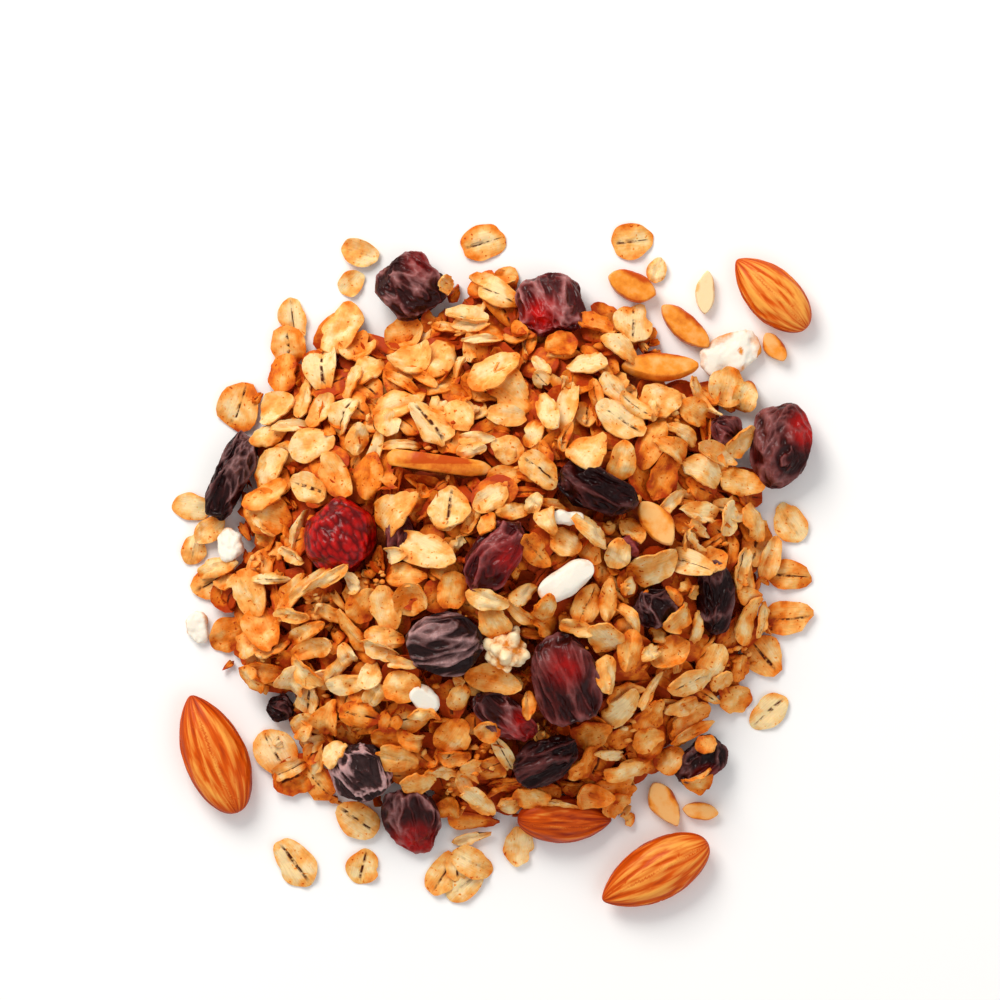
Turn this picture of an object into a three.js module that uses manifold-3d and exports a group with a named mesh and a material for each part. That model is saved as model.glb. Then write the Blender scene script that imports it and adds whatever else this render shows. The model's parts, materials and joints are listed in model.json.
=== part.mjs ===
// A heap of granola as it lies on a table: oat flakes baked onto a mound, with dried fruit,
// almonds, almond slivers and coconut lying in it, and a few strays round its foot.
// Millimetres, +Z up, standing on z = 0.

import * as THREE from 'three';
import { mergeVertices } from 'three/addons/utils/BufferGeometryUtils.js';
import Module from 'manifold-3d';

const wasm = await Module();
wasm.setup();

// Driving dimensions

const MOUND_RADIUS = 52.5; // mean radius of the bare mound, inside its rim of flakes
const MOUND_HEIGHT = 23.5; // crest of the bare mound above the table
const MOUND_FULLNESS = 0.8; // exponent of its profile: lower is flatter on top and steeper at the rim
const MOUND_SPOKES = 32; // facets round the mound
const MOUND_RINGS = 8; // facets from crest to rim

const FLAKE_COUNT = 114; // flakes baked onto the mound
const FLAKE_LENGTH = 10; // a whole rolled oat
const FLAKE_WIDTH = 7.4;
const FLAKE_THICKNESS = 1;
const FLAKE_SIDES = 7;
const STRAY_SIDES = 10; // a flake lying alone is seen whole, so it is rounder
const FLAKE_PROUD = 1.3; // how much more a leaning flake's middle stands over the bare mound
const FLAKE_TILT = 0.72; // radians, the largest random lean of a flake
const SMALLEST_FLAKE = 0.7; // of a whole one
const RIM_COUNT = 22; // flakes round its rim
const RIM_SPREAD = 1.4; // how much further out some of them lie
const RIM_HOLD = 2; // how far each of them reaches into the mound

const FINENESS = 10; // facets round a fruit or an almond
const NOTCH_DEPTH = 0.5; // share of a fruit's half width that a notch takes
const NOTCH_WIDTH = 0.5; // its half width in radians
const GAP = 0.3; // between pieces that touch
const SEED = 20;

const GOLDEN_ANGLE = Math.PI * (3 - Math.sqrt(5));

const COLOURS = {
  oat: 0xdd9c4e,
  paleOat: 0xeec88a,
  redFruit: 0x9c1a26,
  darkFruit: 0x4a1420,
  blackFruit: 0x2c2026,
  almondSkin: 0xb9602a,
  almondFlesh: 0xe09a4a,
  coconut: 0xf3e7d6,
};

// The pieces that lie in the heap and round it. `at` is the middle on the table plan, `size` is
// length, width and height, `turn` is degrees from +X to the length, and `sunk` is the share of
// the height that lies below the bare mound's surface. `square` squares the form: 2 is an oval.

const RED_FRUIT = [
  { name: 'cranberry_top', at: [9.9, 48.8], size: [13.8, 13.2, 8.5], turn: 10, square: 2.5 },
  { name: 'cherry_left', at: [-29.5, 5], size: [15, 13.6, 10.5], turn: 35, square: 2.3 },
  { name: 'cranberry_middle', at: [-0.4, 1.7], size: [16.4, 10.5, 8.5], turn: 232, square: 2.3, point: 0.35 },
  { name: 'cranberry_large', at: [12.9, -22], size: [18.6, 13.4, 9.5], turn: 108, square: 2.6 },
  { name: 'cranberry_lower', at: [1.2, -28.6], size: [15, 7.6, 7], turn: -31, square: 2.2, sunk: 0.55 },
  { name: 'cranberry_bottom', at: [-16.2, -49.6], size: [16, 12, 6], turn: 108, square: 2.3, point: 0.6 },
  { name: 'cranberry_small', at: [23.2, 2.4], size: [7.6, 5.4, 5], turn: 10, square: 2.2, sunk: 0.6 },
];

const DARK_FRUIT = [
  { name: 'raisin_top_left', at: [-16.7, 52.6], size: [13.2, 12.6, 9], turn: 42, square: 3 },
  { name: 'raisin_right', at: [53.9, 22.2], size: [17.6, 12.6, 9.5], turn: 76, square: 2.2, point: 0.25 },
  { name: 'raisin_beside_cherry', at: [-18.4, 4.6], size: [10, 6, 6], turn: 84, square: 2.2, sunk: 0.62 },
  { name: 'raisin_upper_right', at: [43.6, 24.9], size: [7.4, 6.4, 5.5], turn: 20, square: 2.2, sunk: 0.62 },
];

const BLACK_FRUIT = [
  { name: 'prune_strip_left', at: [-51, 16.5], size: [18.2, 7, 7.5], turn: 67, square: 3 },
  { name: 'prune_upper', at: [19, 14], size: [16.4, 10, 7.5], turn: -18, square: 2.8, notch: 70 },
  { name: 'prune_centre', at: [-10.4, -15.2], size: [15.4, 13.2, 8.5], turn: -6, square: 2.7, point: 0.5 },
  { name: 'raisin_lower', at: [8.6, -37.4], size: [14, 9, 7.5], turn: 33, square: 2.3 },
  { name: 'raisin_right_low', at: [29.6, -8.5], size: [9.2, 8.2, 6.5], turn: 30, square: 2.2, sunk: 0.58 },
  { name: 'prune_right', at: [41.2, -6.4], size: [16, 7, 7], turn: 96, square: 2.4, sunk: 0.55 },
  { name: 'raisin_lower_right', at: [38.8, -38.2], size: [12, 8.6, 7], turn: 42, square: 2.5 },
  { name: 'prune_lower_left', at: [-26.4, -39.6], size: [11.6, 11, 8], turn: 14, square: 3.6 },
  { name: 'raisin_edge_left', at: [-41.5, -28], size: [6.6, 5.4, 5], turn: 40, square: 2.2, sunk: 0.5 },
];

const ALMONDS = [
  { name: 'almond_left', at: [-54.2, -36.8], size: [24.2, 12.6, 8], turn: 111 },
  { name: 'almond_lower_right', at: [30, -59.2], size: [23, 12, 8], turn: 208 },
  { name: 'almond_upper_right', at: [52.3, 51.2], size: [18.8, 10.8, 7.4], turn: 136 },
  { name: 'almond_half_buried', at: [12.7, -49.2], size: [18.4, 10.4, 7.5], turn: -4 },
];

const SLIVERS = [
  { name: 'almond_sliver_top', at: [25.6, 52.6], size: [9.8, 5.4, 3.2], turn: -20, sunk: 0.2 },
  { name: 'almond_sliver_top_low', at: [35.8, 45], size: [11.4, 5, 3.2], turn: -40, sunk: 0.2 },
  { name: 'almond_sliver_upper', at: [30.8, 37.2], size: [15.4, 6, 3.4], turn: 4, sunk: 0.3 },
  { name: 'almond_sliver_left', at: [-11, 18.4], size: [20, 4.2, 4], turn: -8, sunk: 0.45, point: 0.55 },
  { name: 'almond_sliver_right', at: [30, 7.4], size: [9.6, 5.4, 2.6], turn: -58, sunk: 0.3, point: 0.3 },
  { name: 'almond_sliver_edge', at: [52.9, 41], size: [6.2, 3.6, 2.6], turn: -62, sunk: 0.2 },
  { name: 'almond_sliver_foot', at: [32, -46.6], size: [9.4, 5.4, 2.6], turn: -64, sunk: 0.1, point: 0.6 },
  { name: 'almond_sliver_foot_small', at: [38.8, -47.9], size: [7, 3.6, 2.2], turn: -10, sunk: 0 },
  { name: 'almond_sliver_stray', at: [39.9, 51.6], size: [8.4, 3.8, 2.2], turn: 86, sunk: 0, point: 0.3 },
];

const COCONUT = [
  { name: 'coconut_large', at: [44.6, 39.6], size: [12.8, 8, 3.2], turn: 22, curl: 0.9, sunk: 0.1 },
  { name: 'coconut_curl', at: [12.6, -3.4], size: [12, 5.6, 2.6], turn: 28, curl: 1.4, sunk: 0.1 },
  { name: 'coconut_left', at: [-51.2, 3.2], size: [7, 5.8, 4], turn: 100, curl: 0.3, sunk: 0.3 },
  { name: 'coconut_seed', at: [-13.8, -25.4], size: [6.4, 4.6, 2.8], turn: -40, curl: 0.3, sunk: 0.2 },
  { name: 'coconut_foot', at: [-57.6, -12.6], size: [6.4, 4.2, 2], turn: 104, curl: 0.4, sunk: 0 },
  { name: 'coconut_strip', at: [12.6, 8.6], size: [7, 2.8, 2.2], turn: -6, curl: 0.3, sunk: 0.3 },
];

const POPPED_GRAIN = { name: 'popped_grain', at: [1.6, -16.2], size: [9.8, 8.6, 7], turn: 30, square: 2.2 };

const STRAY_FLAKES = [
  { name: 'oat_stray_top', at: [-2.6, 61.2], size: [9.8, 7.6], turn: 22 },
  { name: 'oat_stray_top_right', at: [25.6, 61.2], size: [9, 8], turn: 8 },
  { name: 'oat_stray_small', at: [30.6, 55.8], size: [5.4, 4.2], turn: 70 },
  { name: 'oat_stray_top_left', at: [-26.4, 58.9], size: [8.8, 6], turn: -15 },
  { name: 'oat_stray_top_left_low', at: [-28.2, 53.2], size: [6.4, 5.2], turn: 50 },
  { name: 'oat_stray_bottom_left', at: [-38.6, -58.2], size: [11.4, 7.4], turn: -54 },
  { name: 'oat_stray_edge', at: [-39.4, 46.6], size: [9, 6.4], turn: 96 },
  { name: 'oat_stray_left', at: [-58.8, 10.4], size: [8.2, 6], turn: -4 },
  { name: 'oat_stray_left_low', at: [-58.4, 2.3], size: [6.8, 5.4], turn: 80 },
  { name: 'oat_stray_foot', at: [3.8, -54.5], size: [8.6, 6.6], turn: 82 },
  { name: 'oat_stray_right', at: [56.6, 7.4], size: [9, 6.6], turn: -62 },
  { name: 'oat_stray_right_low', at: [52, -28.7], size: [9.8, 6.2], turn: 42 },
  { name: 'oat_stray_bottom', at: [-26.2, -58.5], size: [7.9, 6.8], turn: 82 },
];

const STRAY_CLUSTER = {
  name: 'oat_cluster_stray',
  at: [-7.6, -59.8],
  size: [12, 10, 3],
  turn: 0,
  flakes: [
    { at: [-2.9, 0, 0], size: [10, 6.4], turn: 60, lean: 0.06 },
    { at: [2.7, 2.2, 0.6], size: [8.6, 6], turn: -30, lean: 0.1 },
    { at: [1, -2, 1.1], size: [8.4, 5.6], turn: 46, lean: -0.12 },
  ],
};

// Where the mound's foot lies further out than a circle, or further in: `at` and the half
// width `spread` in degrees from +X, and `out` in millimetres.
const LOBES = [
  { at: 14, out: 2.2, spread: 6 },
  { at: 30, out: 2, spread: 7 },
  { at: 40, out: 4.4, spread: 18 },
  { at: 66, out: 3, spread: 10 },
  { at: 117, out: -4.8, spread: 7 },
  { at: 131, out: 2.4, spread: 7 },
  { at: 149, out: 2.4, spread: 8 },
  { at: 202, out: 1.2, spread: 6 },
  { at: 213, out: -2.4, spread: 6 },
  { at: 223, out: 2.4, spread: 5 },
  { at: 234, out: 1.6, spread: 6 },
  { at: 302, out: 2.6, spread: 7 },
  { at: 318, out: 1.6, spread: 7 },
  { at: 331, out: 2.4, spread: 6 },
  { at: 358, out: 2, spread: 12 },
];

// Flakes at the heap's foot that break its outline, baked to its rim.
const FOOT_FLAKES = [
  { at: [55.6, -10.8], size: [10.6, 6.4], turn: 5 },
  { at: [51, -18.2], size: [8.8, 7.2], turn: -50 },
  { at: [55.9, -2.6], size: [8.8, 5.8], turn: -5 },
  { at: [-49.6, 30], size: [9.8, 8.2], turn: 70 },
  { at: [-42.6, -36.4], size: [9.6, 8], turn: -60 },
  { at: [-34.2, -42.2], size: [8.4, 6.8], turn: -50 },
  { at: [-26.8, -49.6], size: [9.2, 6.8], turn: -35 },
  { at: [-31.4, 43.4], size: [9.6, 6.6], turn: 60 },
  { at: [-54.6, -3.6], size: [9, 6.8], turn: 30 },
];

// Shared helpers

function randomSource(seed) {
  let state = seed >>> 0;
  return () => {
    state = (state + 0x6d2b79f5) >>> 0;
    let t = Math.imul(state ^ (state >>> 15), 1 | state);
    t = (t + Math.imul(t ^ (t >>> 7), 61 | t)) ^ t;
    return ((t ^ (t >>> 14)) >>> 0) / 2 ** 32;
  };
}

const radians = THREE.MathUtils.degToRad;

function moveVertices(geometry, move) {
  const place = geometry.attributes.position;
  const v = new THREE.Vector3();
  for (let i = 0; i < place.count; i++) {
    v.fromBufferAttribute(place, i);
    move(v);
    place.setXYZ(i, v.x, v.y, v.z);
  }
  return geometry;
}

// One vertex where several meet, so that the surface is closed.
function welded(geometry) {
  geometry.deleteAttribute('normal');
  geometry.deleteAttribute('uv');
  return mergeVertices(geometry, 1e-3);
}

function solidOf(geometry, matrix = new THREE.Matrix4()) {
  const placed = welded(geometry.clone().applyMatrix4(matrix));
  return new wasm.Manifold(
    new wasm.Mesh({
      numProp: 3,
      vertProperties: new Float32Array(placed.attributes.position.array),
      triVerts: new Uint32Array(placed.index.array),
    }),
  );
}

function geometryOf(solid) {
  const mesh = solid.getMesh();
  const places = new Float32Array(mesh.numVert * 3);
  for (let i = 0; i < mesh.numVert; i++) {
    const start = i * mesh.numProp;
    places.set(mesh.vertProperties.subarray(start, start + 3), i * 3);
  }
  const geometry = new THREE.BufferGeometry();
  geometry.setAttribute('position', new THREE.BufferAttribute(places, 3));
  geometry.setIndex(new THREE.BufferAttribute(new Uint32Array(mesh.triVerts), 1));
  geometry.computeVertexNormals();
  return geometry;
}

function matte(colour, roughness) {
  return new THREE.MeshStandardMaterial({ color: colour, roughness, metalness: 0, flatShading: true });
}

// The mound

// Its outline, a little longer to the left and wavy, with its lobes.
function moundRadius(angle) {
  const lean = 1.6 * Math.cos(angle - radians(168));
  const waves = 1.1 * Math.cos(3 * angle + 0.7) + 0.9 * Math.cos(7 * angle + 2.1);
  const lobes = LOBES.map(({ at, out, spread }) => {
    const off = Math.atan2(Math.sin(angle - radians(at)), Math.cos(angle - radians(at)));
    return out * Math.exp(-((off / radians(spread)) ** 2));
  });
  return lobes.reduce((sum, lobe) => sum + lobe, MOUND_RADIUS + lean + waves);
}

// Clumps and hollows over its surface.
function clumps(x, y) {
  const broad = Math.sin(x * 0.16 + 1.3) * Math.cos(y * 0.14 - 0.6);
  const fine = Math.sin(x * 0.37 - y * 0.29 + 0.4) * Math.cos(x * 0.21 + y * 0.41);
  return 1.3 * broad + 0.9 * fine;
}

function moundHeight(x, y) {
  const share = Math.hypot(x, y) / moundRadius(Math.atan2(y, x));
  if (share >= 1) return 0;
  const fall = (1 - share ** 2) ** MOUND_FULLNESS;
  return (MOUND_HEIGHT + clumps(x, y)) * fall;
}

function moundNormal(x, y) {
  const step = 2.5;
  const slopeX = (moundHeight(x + step, y) - moundHeight(x - step, y)) / (2 * step);
  const slopeY = (moundHeight(x, y + step) - moundHeight(x, y - step)) / (2 * step);
  return new THREE.Vector3(-slopeX, -slopeY, 1).normalize();
}

function moundGeometry() {
  const profile = [new THREE.Vector2(0, 0)];
  for (let ring = 0; ring <= MOUND_RINGS; ring++) {
    const share = Math.cos((ring / MOUND_RINGS) * (Math.PI / 2));
    profile.push(new THREE.Vector2(ring === MOUND_RINGS ? 0 : share, ring / MOUND_RINGS));
  }
  // The lathe turns about Y, so its height is turned to Z first.
  const geometry = new THREE.LatheGeometry(profile, MOUND_SPOKES).rotateX(Math.PI / 2);
  return moveVertices(geometry, (v) => {
    const angle = Math.atan2(v.y, v.x);
    const onBase = v.z === 0 || Math.abs(v.z) < 1e-6;
    const out = moundRadius(angle);
    v.x *= out;
    v.y *= out;
    v.z = onBase ? 0 : moundHeight(v.x, v.y);
  });
}

// Pieces

// A rolled oat: a thin oval, narrower at one end, dished along its crease and curled.
function flakeGeometry(length, width, sides, random) {
  const curl = 0.9 * (random() - 0.35);
  const notch = 0.16;
  const edge = Array.from({ length: sides }, () => 1 - notch * random());
  const geometry = new THREE.CylinderGeometry(1, 1, FLAKE_THICKNESS, sides).rotateX(Math.PI / 2);
  return moveVertices(geometry, (v) => {
    const side = Math.round(((Math.atan2(v.y, v.x) / (2 * Math.PI)) * sides + sides)) % sides;
    const onAxis = Math.hypot(v.x, v.y) < 1e-6;
    const reach = onAxis ? 0 : edge[side];
    const taper = 1 - 0.14 * v.x;
    const across = v.y * taper;
    v.z += onAxis ? -0.18 * FLAKE_THICKNESS : curl * v.x * v.x - 0.25 * across * across;
    v.x *= (reach * length) / 2;
    v.y = (across * reach * width) / 2;
  });
}

// A dried fruit: an oval or squared lump with folds. `point` narrows its end at -X, and `notch`
// is the direction in its own plan, in degrees, where its side is bitten in.
function fruitGeometry({ size, square = 2, point = 0, notch }, random, fineness) {
  const phase = [random(), random(), random()].map((r) => r * Math.PI * 2);
  return moveVertices(new THREE.SphereGeometry(1, fineness, fineness - 4), (v) => {
    const norm = Math.abs(v.x) ** square + Math.abs(v.y) ** square + Math.abs(v.z) ** square;
    const fold = 0.06 * Math.sin(5 * v.x + 4 * v.z + phase[0]);
    const crease = 0.05 * Math.sin(6 * v.y - 4 * v.x + phase[1]);
    const dent = 0.04 * Math.sin(8 * v.z + 5 * v.y + phase[2]);
    const off = notch === undefined ? Math.PI : Math.atan2(v.y, v.x) - radians(notch);
    const bite = NOTCH_DEPTH * Math.exp(-((off / NOTCH_WIDTH) ** 2)) * (1 - v.z * v.z);
    const reach = 0.94 * norm ** (-1 / square) * (1 + fold + crease + dent) * (1 - bite);
    const narrowing = 1 - point * Math.max(0, -v.x) ** 1.5;
    v.set(
      (v.x * reach * size[0]) / 2,
      (v.y * reach * narrowing * size[1]) / 2,
      (v.z * reach * size[2]) / 2,
    );
  });
}

// An almond: flattened, round at the base and drawn to a tip towards +X.
function almondGeometry({ size }, random, fineness) {
  const geometry = new THREE.SphereGeometry(1, fineness, fineness - 1).rotateZ(-Math.PI / 2);
  return moveVertices(geometry, (v) => {
    const along = v.x;
    const blunt = along < 0 ? 2.7 : 2;
    const round = Math.sqrt(Math.max(0, 1 - Math.abs(along) ** blunt));
    const tip = Math.max(0, along + 0.15);
    const girth = round ** (0.45 * tip) * (1 - 0.12 * tip);
    v.set((along * size[0]) / 2, (v.y * girth * size[1]) / 2, (v.z * girth * size[2]) / 2);
  });
}

// A sliver or chip: long and thin, bowed by `curl` millimetres, its end at +X narrowed by `point`.
function chipGeometry({ size, curl = 0.3, point = 0 }, random, fineness) {
  const square = 2.6;
  const phase = random() * Math.PI * 2;
  const spokes = fineness - 2;
  const geometry = new THREE.SphereGeometry(1, spokes, spokes / 2).rotateZ(Math.PI / 2);
  return moveVertices(geometry, (v) => {
    const norm = Math.abs(v.x) ** square + Math.abs(v.y) ** square + Math.abs(v.z) ** square;
    const reach = norm ** (-1 / square);
    const along = v.x * reach;
    const narrowing = 1 - point * Math.max(0, along) ** 1.5;
    v.set(
      (along * size[0]) / 2,
      (v.y * reach * narrowing * size[1]) / 2 + 0.25 * Math.sin(3 * along + phase),
      (v.z * reach * size[2]) / 2 + curl * along * along,
    );
  });
}

// A popped grain: a knobbly lump.
function poppedGeometry({ size }, random, fineness) {
  return moveVertices(new THREE.SphereGeometry(1, fineness, fineness - 4), (v) => {
    const knobs = 0.16 * Math.sin(4.6 * v.x + 1) * Math.cos(4.2 * v.y) + 0.1 * Math.sin(6 * v.z + 2 * v.y);
    v.multiply(new THREE.Vector3(...size).multiplyScalar(0.46 * (1 + knobs)));
  });
}

// Lays a piece on the mound, or on the table where its middle is beyond the rim.
function laid(piece, geometry, material) {
  const [x, y] = piece.at;
  const mesh = new THREE.Mesh(geometry, material);
  mesh.name = piece.name;
  const under = moundHeight(x, y);
  const normal = under > 0 ? moundNormal(x, y) : new THREE.Vector3(0, 0, 1);
  const lean = new THREE.Quaternion().setFromUnitVectors(
    new THREE.Vector3(0, 0, 1),
    normal.lerp(new THREE.Vector3(0, 0, 1), 0.35).normalize(),
  );
  const turn = new THREE.Quaternion().setFromAxisAngle(new THREE.Vector3(0, 0, 1), radians(piece.turn));
  mesh.quaternion.copy(lean.multiply(turn));
  const height = piece.size[2] ?? FLAKE_THICKNESS;
  mesh.position.set(x, y, under + height * (0.5 - (piece.sunk ?? 0.4)));
  // Nothing lies lower than the table.
  mesh.updateMatrixWorld();
  const lowest = new THREE.Box3().setFromObject(mesh, true).min.z;
  if (lowest < 0 || under === 0) mesh.position.z -= lowest;
  mesh.updateMatrixWorld();
  return mesh;
}

// The room that a piece needs in the heap: its own form, a little larger.
function pocketOf({ piece, form, seed, mesh }) {
  const size = piece.size.map((extent) => extent + 2.6 * GAP);
  return solidOf(form({ ...piece, size }, randomSource(seed), FINENESS), mesh.matrixWorld);
}

// The heap of flakes

function flakeSolid(length, width, place, normal, turn, lean, random) {
  const matrix = new THREE.Matrix4()
    .makeTranslation(place.x, place.y, place.z)
    .multiply(
      new THREE.Matrix4().makeRotationFromQuaternion(
        new THREE.Quaternion().setFromUnitVectors(new THREE.Vector3(0, 0, 1), normal),
      ),
    )
    .multiply(new THREE.Matrix4().makeRotationZ(turn))
    .multiply(new THREE.Matrix4().makeRotationY(lean));
  return solidOf(flakeGeometry(length, width, FLAKE_SIDES, random), matrix);
}

// Moves a flake's place off any piece that it would cross, or gives up after a few tries.
function clearOf(pieces, x, y, reach) {
  for (let tries = 0; tries < 3; tries++) {
    const hit = pieces.find(({ at, size, turn }) => {
      const dx = x - at[0];
      const dy = y - at[1];
      const along = dx * Math.cos(radians(turn)) + dy * Math.sin(radians(turn));
      const across = dy * Math.cos(radians(turn)) - dx * Math.sin(radians(turn));
      return Math.hypot(along / (size[0] / 2 + reach), across / (size[1] / 2 + reach)) < 1;
    });
    if (!hit) return { x, y };
    const away = Math.atan2(y - hit.at[1], x - hit.at[0]);
    x += Math.cos(away) * reach * 0.7;
    y += Math.sin(away) * reach * 0.7;
  }
  return null;
}

// Flakes spread evenly over the mound on a sunflower spiral, the whole ones first.
function bakedFlakes(pieces) {
  const random = randomSource(SEED);
  const solids = [];
  for (let i = 0; i < FLAKE_COUNT; i++) {
    const share = Math.sqrt((i + 0.5) / FLAKE_COUNT);
    const angle = i * GOLDEN_ANGLE;
    const out = share * moundRadius(angle) + 1.6 * (random() - 0.5);
    const scale = SMALLEST_FLAKE + (1 - SMALLEST_FLAKE) * Math.sqrt(random());
    const turn = random() * Math.PI * 2;
    const lean = FLAKE_TILT * (2 * random() - 1);
    const rise = 0.3 + (FLAKE_PROUD * Math.abs(lean)) / FLAKE_TILT;
    const place = clearOf(pieces, out * Math.cos(angle), out * Math.sin(angle), FLAKE_WIDTH * 0.42);
    if (!place) continue;
    const { x, y } = place;
    const inward = Math.min(1, (0.97 * moundRadius(angle)) / Math.hypot(x, y));
    const under = moundHeight(x * inward, y * inward);
    const at = new THREE.Vector3(x, y, Math.max(under, 0.8) + rise);
    const normal = moundNormal(x * inward, y * inward);
    solids.push(flakeSolid(FLAKE_LENGTH * scale, FLAKE_WIDTH * scale, at, normal, turn, lean, random));
  }
  return solids;
}

// A flake at the foot leans on the rim with its outer edge on the table.
function footFlake(x, y, length, width, turn, random) {
  const outward = new THREE.Vector3(x, y, 0).normalize();
  const angle = Math.atan2(y, x);
  const reach = Math.hypot(length * Math.cos(turn - angle), width * Math.sin(turn - angle)) / 2;
  const out = Math.min(Math.hypot(x, y), moundRadius(angle) - RIM_HOLD + reach);
  const normal = new THREE.Vector3(0, 0, 1).addScaledVector(outward, 0.14 + 0.2 * random()).normalize();
  const place = outward.multiplyScalar(out).setZ(FLAKE_THICKNESS * 1.3);
  return flakeSolid(length, width, place, normal, turn, 0, random);
}

// They lie round the whole rim, some further out than others, and where the heap has spread.
function footFlakes(pieces) {
  const random = randomSource(SEED + 1);
  const solids = FOOT_FLAKES.map(({ at, size, turn }) =>
    footFlake(at[0], at[1], size[0], size[1], radians(turn), random),
  );
  for (let i = 0; i < RIM_COUNT; i++) {
    const angle = ((i + 0.6 * random()) / RIM_COUNT) * Math.PI * 2;
    const out = moundRadius(angle) + RIM_SPREAD * random();
    const scale = SMALLEST_FLAKE + (1 - SMALLEST_FLAKE) * random();
    const turn = random() * Math.PI * 2;
    const place = clearOf(pieces, out * Math.cos(angle), out * Math.sin(angle), FLAKE_WIDTH * 0.42);
    if (!place) continue;
    solids.push(footFlake(place.x, place.y, FLAKE_LENGTH * scale, FLAKE_WIDTH * scale, turn, random));
  }
  return solids;
}

// The outer body of a union: a hollow that fusing seals is filled and a loose scrap dropped.
function largestBody(solid) {
  const bodies = solid.decompose();
  return bodies.reduce((best, body) => (body.volume() > best.volume() ? body : best));
}

function heapGeometry(inHeap) {
  const mound = solidOf(moundGeometry());
  const table = solidOf(new THREE.BoxGeometry(200, 200, 60).translate(0, 0, 30));
  const others = [...inHeap.map(({ piece }) => piece), ...STRAY_FLAKES, STRAY_CLUSTER];
  const flakes = [...bakedFlakes(others), ...footFlakes(others)];
  const heap = wasm.Manifold.union([mound, ...flakes]).intersect(table);
  const cut = heap.subtract(wasm.Manifold.union(inHeap.map(pocketOf)));
  return geometryOf(largestBody(cut.simplify(0.06)));
}

function clusterGeometry() {
  const random = randomSource(SEED + 2);
  const upright = new THREE.Vector3(0, 0, 1);
  const solids = STRAY_CLUSTER.flakes.map(({ at, size, turn, lean }) => {
    const place = new THREE.Vector3(...at);
    return flakeSolid(size[0], size[1], place, upright, radians(turn), lean, random);
  });
  return geometryOf(largestBody(wasm.Manifold.union(solids)));
}

// Assembly

const KINDS = [
  { list: RED_FRUIT, form: fruitGeometry, colour: COLOURS.redFruit, roughness: 0.4 },
  { list: DARK_FRUIT, form: fruitGeometry, colour: COLOURS.darkFruit, roughness: 0.4 },
  { list: BLACK_FRUIT, form: fruitGeometry, colour: COLOURS.blackFruit, roughness: 0.5 },
  { list: ALMONDS, form: almondGeometry, colour: COLOURS.almondSkin, roughness: 0.55 },
  { list: SLIVERS, form: chipGeometry, colour: COLOURS.almondFlesh, roughness: 0.5 },
  { list: COCONUT, form: chipGeometry, colour: COLOURS.coconut, roughness: 0.6 },
  { list: [POPPED_GRAIN], form: poppedGeometry, colour: COLOURS.paleOat, roughness: 0.7 },
];

const inHeap = KINDS.flatMap(({ list, form, colour, roughness }) =>
  list.map((piece, i) => {
    const seed = SEED + 10 * i;
    const geometry = form(piece, randomSource(seed), FINENESS);
    const mesh = laid(piece, geometry, matte(colour, roughness));
    return { piece, form, seed, mesh };
  }),
);

const heap = new THREE.Mesh(heapGeometry(inHeap), matte(COLOURS.oat, 0.6));
heap.name = 'granola_heap';

const random = randomSource(SEED + 3);
const strays = STRAY_FLAKES.map((stray) =>
  laid(stray, flakeGeometry(stray.size[0], stray.size[1], STRAY_SIDES, random), matte(COLOURS.paleOat, 0.6)),
);
strays.push(laid(STRAY_CLUSTER, clusterGeometry(), matte(COLOURS.paleOat, 0.6)));

// The origin is the middle of the whole on the table.
const granola = new THREE.Group();
granola.add(heap, ...inHeap.map(({ mesh }) => mesh), ...strays);
const middle = new THREE.Box3().setFromObject(granola, true).getCenter(new THREE.Vector3());
granola.position.set(-middle.x, -middle.y, 0);

export default granola;
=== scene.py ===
"""Dresses a heap of granola: rolled oats baked in syrup, with dried fruit, nuts and coconut.

Everything is in metres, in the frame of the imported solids. The fruit, the nuts and the coconut are
finished over their own solids. The oats are dropped one by one on a grid of heights, until the
pile has the form of the heap's solid.
"""

import json
import math

import bmesh
import bpy
import numpy as np
from bpy.props import FloatProperty, FloatVectorProperty, IntProperty, PointerProperty
from mathutils import Matrix, Vector, noise
from mathutils.bvhtree import BVHTree

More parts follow.
